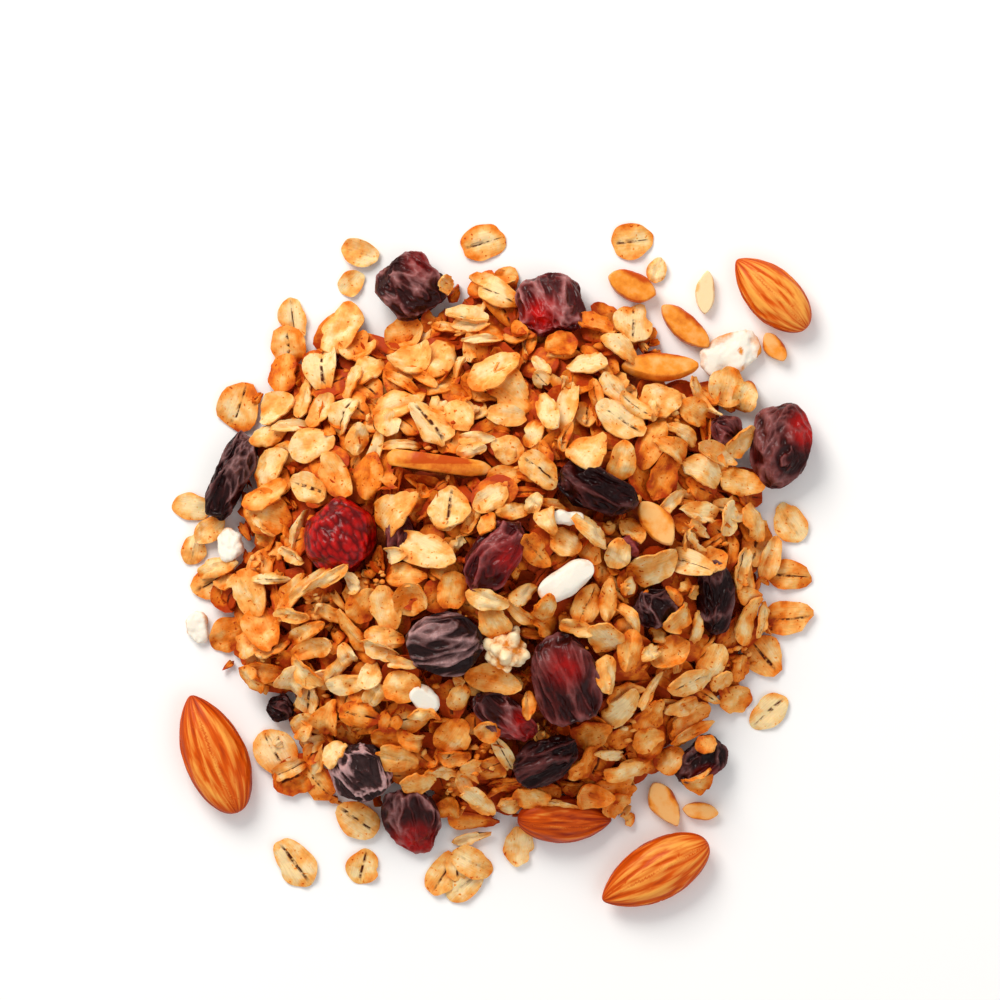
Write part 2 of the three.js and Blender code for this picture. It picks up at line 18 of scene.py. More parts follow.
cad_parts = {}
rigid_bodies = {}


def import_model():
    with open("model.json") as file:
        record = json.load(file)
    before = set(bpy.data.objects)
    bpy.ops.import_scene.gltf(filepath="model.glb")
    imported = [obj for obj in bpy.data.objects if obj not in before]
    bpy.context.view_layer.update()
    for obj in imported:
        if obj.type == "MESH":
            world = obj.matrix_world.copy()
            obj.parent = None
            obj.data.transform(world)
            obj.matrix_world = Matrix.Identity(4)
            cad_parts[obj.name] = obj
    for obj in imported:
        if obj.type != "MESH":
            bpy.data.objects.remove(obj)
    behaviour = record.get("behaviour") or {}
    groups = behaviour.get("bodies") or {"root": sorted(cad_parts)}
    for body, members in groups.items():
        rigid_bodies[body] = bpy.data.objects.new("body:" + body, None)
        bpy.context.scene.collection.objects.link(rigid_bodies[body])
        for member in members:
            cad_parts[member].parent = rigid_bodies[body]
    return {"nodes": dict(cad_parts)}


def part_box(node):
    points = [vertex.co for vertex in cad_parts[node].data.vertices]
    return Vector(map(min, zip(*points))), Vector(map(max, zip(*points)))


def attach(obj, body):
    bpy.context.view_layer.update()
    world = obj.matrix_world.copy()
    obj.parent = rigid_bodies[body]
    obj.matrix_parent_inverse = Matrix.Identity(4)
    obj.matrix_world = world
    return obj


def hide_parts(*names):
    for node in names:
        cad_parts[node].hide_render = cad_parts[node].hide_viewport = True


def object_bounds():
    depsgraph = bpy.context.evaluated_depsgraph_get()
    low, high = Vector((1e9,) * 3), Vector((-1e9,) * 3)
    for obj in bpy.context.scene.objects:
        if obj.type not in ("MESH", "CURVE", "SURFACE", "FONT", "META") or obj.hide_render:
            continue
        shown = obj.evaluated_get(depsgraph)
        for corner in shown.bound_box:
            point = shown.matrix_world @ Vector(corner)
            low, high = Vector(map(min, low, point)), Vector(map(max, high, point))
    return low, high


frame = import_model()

bl_info = {
    "name": "Granola heap",
    "version": (1, 0, 0),
    "blender": (4, 5, 0),
    "location": "3D View > Sidebar > Granola",
    "description": "Builds a heap of granola over its packed solids",
    "category": "Object",
}

MM = 0.001
CAD_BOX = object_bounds()
HEAP_NODE = "granola_heap"
SEED = 7
# The cell of the grid of heights on which the oats are laid.
GRID = 0.5 * MM

RED_FRUIT = ("cranberry_top", "cranberry_middle", "cranberry_small")
DEEP_RED_FRUIT = ("cranberry_large", "cranberry_lower", "cranberry_bottom")
DARK_FRUIT = ("raisin_top_left", "raisin_right", "raisin_beside_cherry", "raisin_upper_right")
BLACK_FRUIT = (
    "prune_strip_left", "prune_upper", "prune_centre", "prune_right", "prune_lower_left",
    "raisin_lower", "raisin_right_low", "raisin_lower_right", "raisin_edge_left",
)
ALMONDS = ("almond_left", "almond_lower_right", "almond_upper_right", "almond_half_buried")
SLIVERS = (
    "almond_sliver_top", "almond_sliver_top_low", "almond_sliver_upper", "almond_sliver_left",
    "almond_sliver_right", "almond_sliver_edge", "almond_sliver_foot", "almond_sliver_foot_small",
    "almond_sliver_stray",
)
COCONUT = (
    "coconut_large", "coconut_curl", "coconut_left",
    "coconut_seed", "coconut_foot", "coconut_strip",
)
STRAY_OATS = (
    "oat_stray_top", "oat_stray_top_right", "oat_stray_small", "oat_stray_top_left",
    "oat_stray_top_left_low", "oat_stray_bottom_left", "oat_stray_bottom",
)
# These lie against the heap, so its oats are laid round and over them.
EDGE_OATS = (
    "oat_stray_edge", "oat_stray_left", "oat_stray_left_low",
    "oat_stray_foot", "oat_stray_right", "oat_stray_right_low",
)

# Strays that show their dark crease.
CREASED = (
    "oat_stray_top", "oat_stray_top_right", "oat_stray_bottom_left", "oat_stray_bottom",
    "oat_stray_edge", "oat_stray_right_low",
)
# Strays that baked browner than the rest.
BROWNER = ("oat_stray_top", "oat_stray_top_right")

# All places below are in mm on the plan, whose middle is that of the bare mound. The row's
# origin is the middle of the whole, which lies this far to the left of and below it.
PLAN = (1.07, 0.55)

# Parts of a dried fruit whose skin stayed red and clear: middle on the plan, radius, strength.
CLEAR_SKIN = {
    "raisin_right": (58.8, 25.2, 3.2, 1.0),
    "cranberry_top": (8.2, 46.8, 2.8, 1.0),
    "cranberry_large": (12.4, -19.6, 3.0, 0.6),
    "cranberry_middle": (2.0, 1.2, 2.6, 0.6),
    "cranberry_bottom": (-16.0, -54.6, 4.0, 0.8),
    "cranberry_lower": (4.4, -31.0, 3.0, 0.7),
    "raisin_top_left": (-15.0, 57.0, 2.6, 0.35),
    "raisin_lower_right": (40.0, -42.0, 2.6, 0.5),
}

# How much dust and painted sheen each dried fruit's ridges get.
DUST_AND_SHEEN = {
    "cherry_left": 0.02, "cranberry_top": 0.85, "cranberry_middle": 0.4, "cranberry_large": 0.28,
    "cranberry_lower": 0.8, "cranberry_bottom": 0.8, "raisin_top_left": 0.7,
    "raisin_right": 0.42, "prune_strip_left": 0.6, "prune_upper": 0.14, "prune_centre": 1.2,
    "raisin_lower": 0.12, "raisin_right_low": 0.5, "prune_right": 0.35,
    "raisin_lower_right": 0.35, "prune_lower_left": 3.0,
}
# How far the folds of a fruit are drawn out along it, where it isn't twice.
DRAWN_OUT = {"prune_centre": 4.0, "cranberry_large": 3.0, "cranberry_lower": 3.0}
# How much darker than usual each nut or sliver is coloured: by its roast, and for the almonds also by
# painted light, lighter at the upper right and darker with shade on the half buried one.
ROAST_AND_PAINTED_LIGHT = {
    "almond_upper_right": -0.06, "almond_half_buried": 0.2, "almond_left": 0.05,
    "almond_sliver_left": 0.14, "almond_sliver_top_low": 0.16, "almond_sliver_upper": 0.12,
    "almond_sliver_top": 0.2, "almond_sliver_right": -0.06, "almond_sliver_foot": -0.1,
    "almond_sliver_foot_small": -0.02,
}

# Oats that break the heap's outline at its foot: middle, length and width, turn in degrees.
FOOT_OATS = (
    ((55.6, -10.8), (10.6, 6.4), 5),
    ((51.0, -18.2), (8.8, 7.2), -50),
    ((55.9, -2.6), (8.8, 5.8), -5),
    ((-49.6, 30.0), (9.8, 8.2), 70),
    ((-42.6, -36.4), (9.6, 8.0), -60),
    ((-34.2, -42.2), (8.4, 6.8), -50),
    ((-26.8, -49.6), (9.2, 6.8), -35),
    ((-31.4, 43.4), (9.6, 6.6), 60),
    ((-54.6, -3.6), (9.0, 6.8), 30),
    ((-40.2, 41.2), (8.4, 6.8), 95),
)

# The oats that lie on top, the most toasted first: x, y, length, width, turn in degrees, how toasted
# from 0 to 1, and 1 for a dark crease. How toasted was read off together with the light and shade on
# each oat, so it partly paints them. The last three lie over the half buried almond.
TOP_OATS = (
    (-24.1, 16.4, 9.1, 5.7, 85, 0.55, 0), (11.9, 41.2, 7.2, 5.3, 20, 0.55, 0),
    (31.3, 16.8, 10.6, 5.7, 60, 0.55, 0), (-41.0, 36.1, 7.6, 7.2, 80, 0.50, 0),
    (6.8, 2.4, 8.3, 4.9, -45, 0.50, 1), (-25.8, -28.8, 8.3, 5.7, -5, 0.50, 1),
    (-20.0, -33.6, 8.3, 6.4, -10, 0.50, 0), (-8.5, -36.5, 6.8, 3.4, 0, 0.50, 0),
    (19.5, 36.8, 11.3, 2.3, -55, 0.45, 0), (19.1, 43.3, 7.2, 4.2, -20, 0.45, 0),
    (18.6, 45.2, 7.9, 4.5, -20, 0.45, 0), (-4.9, -49.6, 9.8, 4.2, -8, 0.45, 0),
    (-1.9, -31.4, 5.3, 4.9, 30, 0.45, 0), (24.8, -17.9, 7.6, 6.0, 70, 0.45, 0),
    (-43.9, 9.3, 10.6, 8.7, -15, 0.42, 0), (-43.9, 12.8, 9.8, 5.7, 10, 0.40, 0),
    (29.0, 22.6, 10.6, 5.3, 65, 0.40, 0), (-44.3, -20.8, 7.6, 4.5, 10, 0.40, 0),
    (-25.4, -7.8, 7.6, 5.7, 60, 0.40, 0), (-1.9, 7.2, 4.9, 3.8, 70, 0.40, 0),
    (33.1, -6.3, 4.9, 1.9, -40, 0.40, 0), (24.8, -16.5, 8.3, 4.9, 80, 0.40, 0),
    (-46.9, -22.3, 6.4, 4.2, -60, 0.40, 0), (-8.5, -32.8, 7.6, 7.2, 60, 0.40, 0),
    (16.2, -38.3, 7.6, 6.0, 60, 0.40, 0), (21.7, -43.7, 9.8, 5.7, -10, 0.40, 0),
    (46.2, -20.5, 5.7, 4.2, 70, 0.40, 0), (28.8, -29.2, 8.7, 5.7, 80, 0.40, 0),
    (-14.1, 35.0, 7.6, 2.6, -40, 0.35, 0), (-51.6, -13.9, 7.6, 6.8, 20, 0.35, 0),
    (-17.8, -23.0, 7.6, 6.4, 20, 0.35, 0), (-4.9, 8.2, 5.7, 3.0, 60, 0.35, 0),
    (-8.5, -4.8, 7.6, 5.7, 80, 0.35, 0), (8.6, -8.5, 8.7, 4.2, 75, 0.35, 0),
    (33.9, -10.3, 6.8, 4.9, 30, 0.35, 0), (-32.3, -29.9, 7.6, 5.7, 60, 0.35, 0),
    (-13.8, -28.5, 6.0, 3.0, 5, 0.35, 0), (-15.8, -33.6, 6.0, 3.8, -20, 0.35, 0),
    (-9.2, -47.0, 5.7, 4.9, 50, 0.35, 0), (14.0, -42.6, 6.4, 3.4, -20, 0.35, 0),
    (17.7, -32.5, 8.3, 5.7, 30, 0.35, 0), (5.7, -26.7, 5.7, 2.6, 85, 0.35, 0),
    (32.4, -17.2, 9.1, 5.7, 30, 0.35, 0), (39.7, -34.6, 4.2, 4.2, 70, 0.35, 0),
    (45.5, -26.3, 6.8, 5.7, 5, 0.35, 0), (28.4, -33.6, 6.4, 4.9, 20, 0.35, 0),
    (25.1, -39.7, 8.7, 4.2, 15, 0.35, 0), (38.2, -41.6, 6.4, 4.9, 20, 0.35, 0),
    (-26.7, 40.8, 7.9, 6.4, 60, 0.30, 0), (2.4, 32.1, 9.8, 7.2, -40, 0.30, 0),
    (37.5, 28.1, 7.6, 5.3, -20, 0.30, 0), (33.1, 21.2, 7.6, 4.5, -20, 0.30, 0),
    (-39.6, -6.7, 11.3, 4.5, 40, 0.30, 0), (-47.6, -15.7, 5.7, 5.7, 60, 0.30, 0),
    (-17.4, -2.3, 8.3, 4.5, -5, 0.30, 0), (-30.5, -9.9, 8.3, 3.4, -15, 0.30, 0),
    (-27.6, -12.8, 9.5, 3.4, -65, 0.30, 0), (25.3, 6.1, 6.8, 4.2, -70, 0.30, 0),
    (4.2, -9.2, 8.3, 2.6, -45, 0.30, 0), (24.2, -9.9, 7.6, 2.6, -45, 0.30, 0),
    (48.8, 7.5, 7.6, 5.7, -70, 0.30, 0), (47.7, -6.7, 6.8, 3.4, -20, 0.30, 0),
    (24.2, -39.7, 8.3, 3.4, 10, 0.30, 0), (-7.4, -25.2, 5.7, 4.5, 70, 0.30, 0),
    (42.6, -22.7, 5.3, 4.5, 80, 0.30, 0), (32.8, -37.9, 6.4, 5.3, 40, 0.30, 0),
    (35.3, -33.6, 4.9, 2.6, 20, 0.30, 0), (-18.1, 33.9, 8.3, 2.3, -35, 0.25, 0),
    (-11.2, 38.6, 9.8, 6.0, 75, 0.25, 0), (47.3, 31.7, 6.0, 5.3, 60, 0.25, 0),
    (-51.6, -3.8, 5.7, 3.4, -10, 0.25, 0), (-44.7, -12.8, 9.8, 6.8, -65, 0.25, 0),
    (-36.3, -13.2, 10.6, 3.4, 25, 0.25, 0), (-38.9, -9.9, 7.6, 3.0, 10, 0.25, 0),
    (-30.5, 16.2, 9.8, 5.7, -60, 0.25, 0), (-7.8, 3.2, 4.9, 2.3, 85, 0.25, 0),
    (16.6, -7.8, 9.1, 4.9, 65, 0.25, 1), (20.6, -7.0, 8.3, 3.4, 80, 0.25, 0),
    (47.7, -11.0, 9.8, 4.9, 60, 0.25, 0), (-39.9, -39.7, 7.6, 3.4, 25, 0.25, 1),
    (-19.2, -37.2, 8.7, 6.0, -15, 0.25, 0), (-15.2, -41.9, 7.2, 5.3, 20, 0.25, 0),
    (2.4, -45.9, 6.0, 4.2, 30, 0.25, 0), (9.0, -43.7, 6.8, 3.8, -5, 0.25, 0),
    (36.4, -29.9, 10.6, 4.5, 20, 0.25, 0), (36.8, -32.5, 9.8, 2.3, 20, 0.25, 0),
    (-0.5, 36.1, 11.3, 6.8, 40, 0.22, 0), (-33.4, 28.8, 7.6, 4.5, 55, 0.20, 0),
    (-19.2, 29.5, 9.1, 5.7, 20, 0.20, 0), (-17.8, 43.3, 7.9, 6.8, 20, 0.20, 0),
    (-1.2, 53.7, 8.7, 3.4, 0, 0.20, 0), (23.1, 19.0, 7.9, 5.7, 75, 0.20, 0),
    (6.8, 24.4, 5.7, 4.2, 70, 0.20, 0), (23.5, 40.4, 8.7, 4.2, -30, 0.20, 0),
    (30.6, 30.6, 9.8, 7.6, 50, 0.20, 0), (39.0, 31.0, 9.8, 2.3, -50, 0.20, 0),
    (43.7, 33.5, 7.9, 7.6, 80, 0.20, 0), (41.5, 20.4, 9.1, 3.8, -20, 0.20, 0),
    (46.2, 15.3, 9.8, 5.7, 0, 0.20, 0), (-47.2, -5.9, 9.8, 7.2, -60, 0.20, 0),
    (-35.2, -3.8, 11.3, 2.6, 35, 0.20, 0), (-34.5, -16.1, 9.8, 4.2, 25, 0.20, 0),
    (-36.3, -20.8, 8.7, 4.2, -40, 0.20, 0), (-19.2, 9.7, 10.2, 7.2, 40, 0.20, 0),
    (-16.0, -6.7, 7.2, 6.4, 5, 0.20, 0), (-21.0, -8.5, 9.1, 5.7, 100, 0.20, 0),
    (3.1, 9.7, 7.6, 3.4, 20, 0.20, 0), (12.6, 3.9, 6.8, 5.7, -20, 0.20, 0),
    (-0.5, -11.0, 7.9, 6.4, 110, 0.20, 0), (4.6, -5.9, 6.8, 3.4, 20, 0.20, 0),
    (14.8, -12.1, 7.6, 3.0, -15, 0.20, 0), (40.4, 0.2, 7.6, 5.3, 40, 0.20, 0),
    (-10.7, -39.7, 6.4, 3.0, 0, 0.20, 0), (40.4, -19.4, 8.7, 5.7, 60, 0.20, 0),
    (28.8, -24.1, 8.7, 2.1, 60, 0.20, 0), (35.0, -27.4, 7.9, 3.4, 10, 0.18, 0),
    (-29.8, 44.8, 11.3, 7.6, 75, 0.15, 0), (-24.7, 36.4, 7.6, 5.7, 65, 0.15, 0),
    (-27.6, 33.9, 6.8, 2.6, 70, 0.15, 0), (-37.0, 31.0, 7.2, 4.2, 70, 0.15, 0),
    (-43.6, 17.9, 9.5, 6.8, 20, 0.15, 0), (-43.6, 24.1, 7.9, 4.5, 10, 0.15, 0),
    (-26.5, 23.3, 6.4, 4.2, 70, 0.15, 0), (-16.3, 38.6, 8.7, 7.2, 30, 0.15, 0),
    (-9.9, 52.8, 3.8, 3.8, 0, 0.15, 0), (16.6, 20.8, 9.1, 7.2, 70, 0.15, 0),
    (-4.1, 23.3, 7.6, 2.6, 0, 0.15, 0), (1.7, 21.2, 6.0, 5.7, 20, 0.15, 0),
    (35.0, 24.1, 7.6, 3.4, -15, 0.15, 0), (46.2, 23.0, 7.6, 4.5, 50, 0.15, 0),
    (-44.7, 6.8, 5.7, 1.1, -35, 0.15, 0), (-32.3, -3.0, 11.3, 2.3, 40, 0.15, 0),
    (-1.2, 12.2, 7.6, 4.9, 35, 0.15, 0), (9.3, 8.2, 5.7, 4.2, -60, 0.15, 0),
    (22.4, 1.7, 6.4, 4.9, 75, 0.15, 0), (20.2, -20.8, 7.2, 5.3, 75, 0.15, 0),
    (-0.9, -21.9, 10.6, 5.7, -15, 0.15, 0), (23.9, -24.8, 7.6, 4.2, 10, 0.15, 0),
    (46.2, -1.2, 8.3, 3.4, 75, 0.15, 1), (52.0, 0.6, 8.7, 4.2, 70, 0.15, 0),
    (37.5, -12.5, 7.2, 2.6, 80, 0.15, 0), (-37.0, -31.4, 6.8, 4.9, 30, 0.15, 0),
    (-5.9, -43.0, 8.7, 2.6, -60, 0.15, 0), (-3.8, -45.2, 8.7, 4.2, -55, 0.15, 0),
    (-21.4, -13.9, 7.6, 4.2, -5, 0.12, 0), (-22.1, -16.1, 7.9, 3.4, -20, 0.12, 0),
    (20.2, -13.9, 7.9, 6.4, -60, 0.12, 0), (36.4, -0.1, 9.8, 4.9, -20, 0.12, 1),
    (37.1, 3.9, 6.8, 1.9, 5, 0.12, 0), (28.8, -16.8, 5.7, 3.0, 30, 0.12, 0),
    (-30.9, -36.1, 5.7, 4.2, 50, 0.12, 0), (36.4, -22.7, 10.2, 5.7, -5, 0.12, 1),
    (-42.3, 29.2, 8.7, 6.2, 15, 0.10, 0), (-39.2, 25.7, 8.7, 2.3, 0, 0.10, 0),
    (7.7, 17.5, 8.3, 6.4, -30, 0.10, 1), (21.9, 32.8, 7.6, 4.2, -50, 0.10, 0),
    (29.1, 28.8, 4.5, 2.6, 80, 0.10, 0), (-53.8, -1.2, 8.7, 3.8, 10, 0.10, 0),
    (-30.5, -20.1, 7.6, 3.4, 60, 0.10, 0), (-9.0, 10.4, 9.1, 7.9, 85, 0.10, 1),
    (-13.4, 2.4, 12.2, 6.8, -30, 0.10, 0), (-18.5, -18.7, 7.2, 2.3, -10, 0.10, 0),
    (17.3, 6.1, 8.7, 6.0, -15, 0.10, 0), (-1.9, -6.7, 8.3, 4.2, -10, 0.10, 0),
    (38.2, 6.4, 7.6, 2.6, -10, 0.10, 0), (32.8, 11.5, 6.8, 3.0, 30, 0.10, 0),
    (12.2, -46.1, 7.6, 1.1, 0, 0.10, 0), (21.3, -36.5, 6.8, 2.3, -18, 0.10, 0),
    (-35.6, 14.1, 9.5, 5.7, -10, 0.08, 1), (0.1, 51.0, 8.7, 5.7, -30, 0.08, 1),
    (1.7, 27.7, 7.9, 4.2, -10, 0.08, 0), (13.0, 29.5, 10.6, 4.2, 75, 0.08, 0),
    (39.0, 17.2, 8.3, 7.2, -10, 0.08, 0), (-23.2, -24.8, 5.7, 3.8, 60, 0.08, 0),
    (29.1, -0.5, 9.5, 7.9, 20, 0.08, 0), (-29.2, 27.7, 7.2, 5.7, 60, 0.05, 1),
    (-20.7, 26.4, 6.0, 4.7, 80, 0.05, 0), (-5.2, 45.0, 7.6, 3.0, 0, 0.05, 0),
    (-3.0, 42.2, 7.6, 1.7, 3, 0.05, 0), (8.2, 37.2, 6.0, 2.3, -50, 0.05, 0),
    (9.3, 28.4, 9.1, 4.2, 110, 0.05, 0), (-4.9, 21.2, 5.7, 3.0, 15, 0.05, 0),
    (-18.3, 21.9, 8.7, 1.9, 0, 0.05, 0), (25.9, 29.5, 7.6, 3.4, -35, 0.05, 1),
    (-37.9, 6.4, 7.9, 1.1, 78, 0.05, 0), (-39.0, 1.3, 5.7, 2.6, -15, 0.05, 0),
    (-55.2, 6.1, 6.4, 4.9, 40, 0.05, 0), (-39.2, -22.7, 6.8, 6.0, 60, 0.05, 0),
    (-28.3, -17.6, 4.9, 3.4, -60, 0.05, 0), (-28.3, -23.0, 9.1, 4.2, 15, 0.05, 0),
    (38.2, 9.3, 7.9, 4.9, 10, 0.05, 0), (43.7, 8.2, 6.8, 4.2, 80, 0.05, 0),
    (23.3, -27.4, 8.7, 5.7, 55, 0.05, 0), (-35.2, 22.3, 9.5, 6.4, 5, 0.03, 0),
    (-12.7, 26.3, 11.3, 7.2, 115, 0.03, 1), (-5.6, 46.8, 8.3, 4.2, -5, 0.02, 1),
    (-27.6, -3.4, 5.3, 3.4, -40, 0.02, 0), (-33.6, 37.5, 11.0, 6.6, 100, 0.00, 1),
    (17.0, 37.5, 7.9, 4.2, 10, 0.00, 0), (23.1, 27.0, 10.6, 7.2, -30, 0.00, 1),
    (-5.0, 28.8, 3.0, 2.6, 0, 0.00, 0), (25.7, 45.5, 9.1, 7.6, 80, 0.00, 1),
    (-24.0, -21.2, 5.7, 4.5, 70, 0.00, 0), (-19.6, 1.7, 4.9, 3.4, 20, 0.00, 0),
    (6.8, 11.2, 4.2, 3.4, 60, 0.00, 0), (6.5, -44.8, 7.6, 5.0, 20, 0.40, 0),
    (17.6, -44.6, 7.6, 5.2, -15, 0.35, 0), (22.4, -46.2, 6.4, 4.4, 40, 0.30, 0),
)

# Where syrup and crumb baked into a lump: x, y and radius.
CLUMPS = (
    (44, 33, 3.4), (-3.4, -37.4, 3.6), (24.8, -18, 3.2), (-44.6, -21, 3.4), (46, -19, 3.2),
    (-8, -44.4, 2.8), (27, -32, 3.2), (20.4, -43.6, 3), (19.6, 43.4, 2.6), (-24, -2.6, 2.6),
    (-14, 22.6, 2.8), (34, 26, 2.6), (-36, -8.4, 3), (3.6, -46.4, 2.8),
)


def linear(code):
    """An sRGB hex colour as linear red, green, blue and alpha."""
    parts = [int(code[i : i + 2], 16) / 255 for i in (1, 3, 5)]
    return tuple(c / 12.92 if c <= 0.04045 else ((c + 0.055) / 1.055) ** 2.4 for c in parts) + (1.0,)


def length_property(name, description, millimetres):
    """A length whose default is given in millimetres."""
    return FloatProperty(
        name=name, description=description, default=millimetres * MM, unit="LENGTH",
    )


def colour_property(name, description, code):
    """A colour swatch whose default is an sRGB hex colour."""
    return FloatVectorProperty(
        name=name, description=description, default=linear(code), size=4,
        min=0, max=1, subtype="COLOR",
    )


class GranolaOats(bpy.types.PropertyGroup):
    flake_length: length_property("Oat length", "Length of a whole rolled oat", 9.2)
    flake_width: length_property("Oat width", "Width of a whole rolled oat", 6.7)
    flake_thickness: length_property("Oat thickness", "Thickness of a rolled oat's middle", 0.8)
    bed_depth: length_property("Bed depth", "How deep loose oats lie over the packed crumb", 8)
    under_count: IntProperty(
        name="Oats below", description="Most oats in the lower layers", default=900, min=0,
    )
    upper_count: IntProperty(
        name="Oats above", description="Most oats in the upper layers", default=900, min=0,
    )
    crumb_count: IntProperty(
        name="Crumbs", description="Loose crumbs over the heap", default=300, min=0,
    )
    pale: colour_property("Pale oat", "The least toasted face of an oat", "#F6D49C")
    gold: colour_property("Golden oat", "An oat's usual colour", "#F3AF5C")
    brown: colour_property("Toasted oat", "A toasted edge", "#EA7E1E")
    # The darkest stop is reached by the darkest toast and by the painted shade deep between the oats.
    dark: colour_property("Dark toast", "The darkest toast and the syrup between the oats", "#B43C06")
    crease: colour_property("Crease", "The broken line down an oat", "#4A1600")


class GranolaFruit(bpy.types.PropertyGroup):
    fold_spacing: length_property("Fold spacing", "Distance between a skin's broad folds", 4.4)
    fold_depth: length_property("Fold depth", "Depth of the folds of a dried skin", 1.5)
    # Each fold colour below is painted shade in the hollows of the skin.
    cherry: colour_property("Cherry skin", "Skin of the brightest fruit", "#CC0602")
    cherry_hollow_shade: colour_property("Cherry fold", "Between the bumps of its skin", "#5E0000")
    red: colour_property("Red skin", "Ridges of the red fruit", "#96130E")
    red_hollow_shade: colour_property("Red fold", "Hollows of the red fruit", "#3E0000")
    maroon: colour_property("Dark skin", "Ridges of the dark raisins", "#7A1C16")
    maroon_hollow_shade: colour_property("Dark fold", "Hollows of the dark raisins", "#280100")
    black: colour_property("Black skin", "Ridges of the prunes and black raisins", "#500C08")
    black_hollow_shade: colour_property("Black fold", "Hollows of the prunes and black raisins", "#180000")
    clear: colour_property("Clear skin", "Skin that stayed red and clear", "#B80A06")
    # The bloom colour is dust and a painted sheen on the ridges.
    dust_and_sheen: colour_property("Bloom", "The dusty sugar on dry ridges", "#BC9390")


class GranolaNuts(bpy.types.PropertyGroup):
    rib_depth: length_property("Rib depth", "Height of the ribs of an almond's skin", 0.2)
    rib_count: IntProperty(
        name="Ribs", description="Ribs round an almond's skin", default=15, min=4,
    )
    # The pale rib colour is a painted sheen, and the dark groove colour a painted shade.
    skin: colour_property("Almond skin", "The skin between its ribs", "#D45200")
    skin_pale: colour_property("Pale rib", "The worn ribs", "#F4A446")
    skin_dark: colour_property("Dark groove", "The grooves between the ribs", "#962800")
    flesh: colour_property("Almond flesh", "Cut almond, lightly roasted", "#F0B46C")
    flesh_gold: colour_property("Golden flesh", "Cut almond, well roasted", "#EE922C")
    flesh_toast: colour_property("Toasted flesh", "Its browned edges", "#C24A04")
    flesh_pale: colour_property("Blanched flesh", "Cut almond that was not roasted", "#F2D7A6")
    coconut: colour_property("Coconut", "White flesh of the coconut", "#F2EADA")
    coconut_toast: colour_property("Toasted coconut", "Its browned edges", "#DE8A34")


class GranolaStage(bpy.types.PropertyGroup):
    floor: colour_property("Floor", "The plain pale floor", "#FBFAF8")
    key_power: FloatProperty(
        name="Key light", description="Power of the large light at the photo's top left",
        default=5.2, min=0, unit="POWER",
    )
    fill_power: FloatProperty(
        name="Fill light", description="Power of the light at the other side",
        default=0.8, min=0, unit="POWER",
    )
    room_light: FloatProperty(
        name="Room light", description="Strength of the light from all sides",
        default=0.56, min=0,
    )
    view_width: length_property("View width", "Width of the table that the camera sees", 190)


# Making pieces


def added(name, data):
    """A new object in the scene."""
    piece = bpy.data.objects.new(name, data)
    bpy.context.scene.collection.objects.link(piece)
    return piece


def mesh_from(bm, name):
    """The mesh that a bmesh leaves, which is freed."""
    mesh = bpy.data.meshes.new(name)
    bm.to_mesh(mesh)
    bm.free()
    return mesh


def placed(name, mesh, material, slot, nodes=(), sharp=0):
    """Makes a mesh a piece of the heap, with its finish, and lets it stand for its solids."""
    mesh.materials.clear()
    mesh.materials.append(material)
    mesh.shade_smooth()
    if sharp:
        mesh.set_sharp_from_angle(angle=math.radians(sharp))
    piece = added(name, mesh)
    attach(piece, "root")
    if nodes:
        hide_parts(*nodes)
    return piece


def closed_copy(node):
    """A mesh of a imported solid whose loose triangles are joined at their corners."""
    bm = bmesh.new()
    bm.from_mesh(frame["nodes"][node].data)
    bmesh.ops.remove_doubles(bm, verts=bm.verts, dist=0.01 * MM)
    bmesh.ops.recalc_face_normals(bm, faces=bm.faces)
    return bm


def rounded(bm, levels, kept=0):
    """The mesh after subdivision, which rounds a faceted solid, less so where facets are kept."""
    mesh = mesh_from(bm, "rounding")
    helper = added("rounding", mesh)
    if kept:
        modifier = helper.modifiers.new("Facets", "SUBSURF")
        modifier.subdivision_type = "SIMPLE"
        modifier.levels = modifier.render_levels = kept
    modifier = helper.modifiers.new("Rounding", "SUBSURF")
    modifier.levels = modifier.render_levels = levels
    result = bpy.data.meshes.new_from_object(
        helper.evaluated_get(bpy.context.evaluated_depsgraph_get())
    )
    bpy.data.objects.remove(helper)
    bpy.data.meshes.remove(mesh)
    return result


def points_of(mesh):
    """The mesh's vertices and their normals as arrays."""
    count = len(mesh.vertices)
    points, normals = np.empty(count * 3), np.empty(count * 3)
    mesh.vertices.foreach_get("co", points)
    mesh.vertices.foreach_get("normal", normals)
    return points.reshape(-1, 3), normals.reshape(-1, 3)


def give_attribute(mesh, name, values):
    """Stores a number for each vertex, or one for all, which the materials read by name."""
    attribute = mesh.attributes.new(name, "FLOAT", "POINT")
    attribute.data.foreach_set("value", np.full(len(mesh.vertices), values, np.float32))


def give_uv(mesh, pairs):
    """Stores a UV map from one pair of numbers for each vertex."""
    corners = np.empty(len(mesh.loops), np.int32)
    mesh.loops.foreach_get("vertex_index", corners)
    layer = mesh.uv_layers.new(name="UVMap")
    layer.data.foreach_set("uv", np.asarray(pairs, np.float32)[corners].ravel())


def fitted_to(mesh, node):
    """Brings a finished mesh back to its solid's box, which rounding shrinks."""
    low, high = (np.array(corner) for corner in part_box(node))
    points, _ = points_of(mesh)
    own_low, own_high = points.min(0), points.max(0)
    points = low + (points - own_low) * (high - low) / (own_high - own_low)
    mesh.vertices.foreach_set("co", points.ravel())
    mesh.update()


def reshaped(mesh, points, node):
    """Moves a mesh's vertices, then brings it back to its solid's box."""
    mesh.vertices.foreach_set("co", points.ravel())
    mesh.update()
    fitted_to(mesh, node)


def on_plan(x, y):
    """A place on the plan in the row's frame."""
    return np.array((x + PLAN[0], y + PLAN[1])) * MM


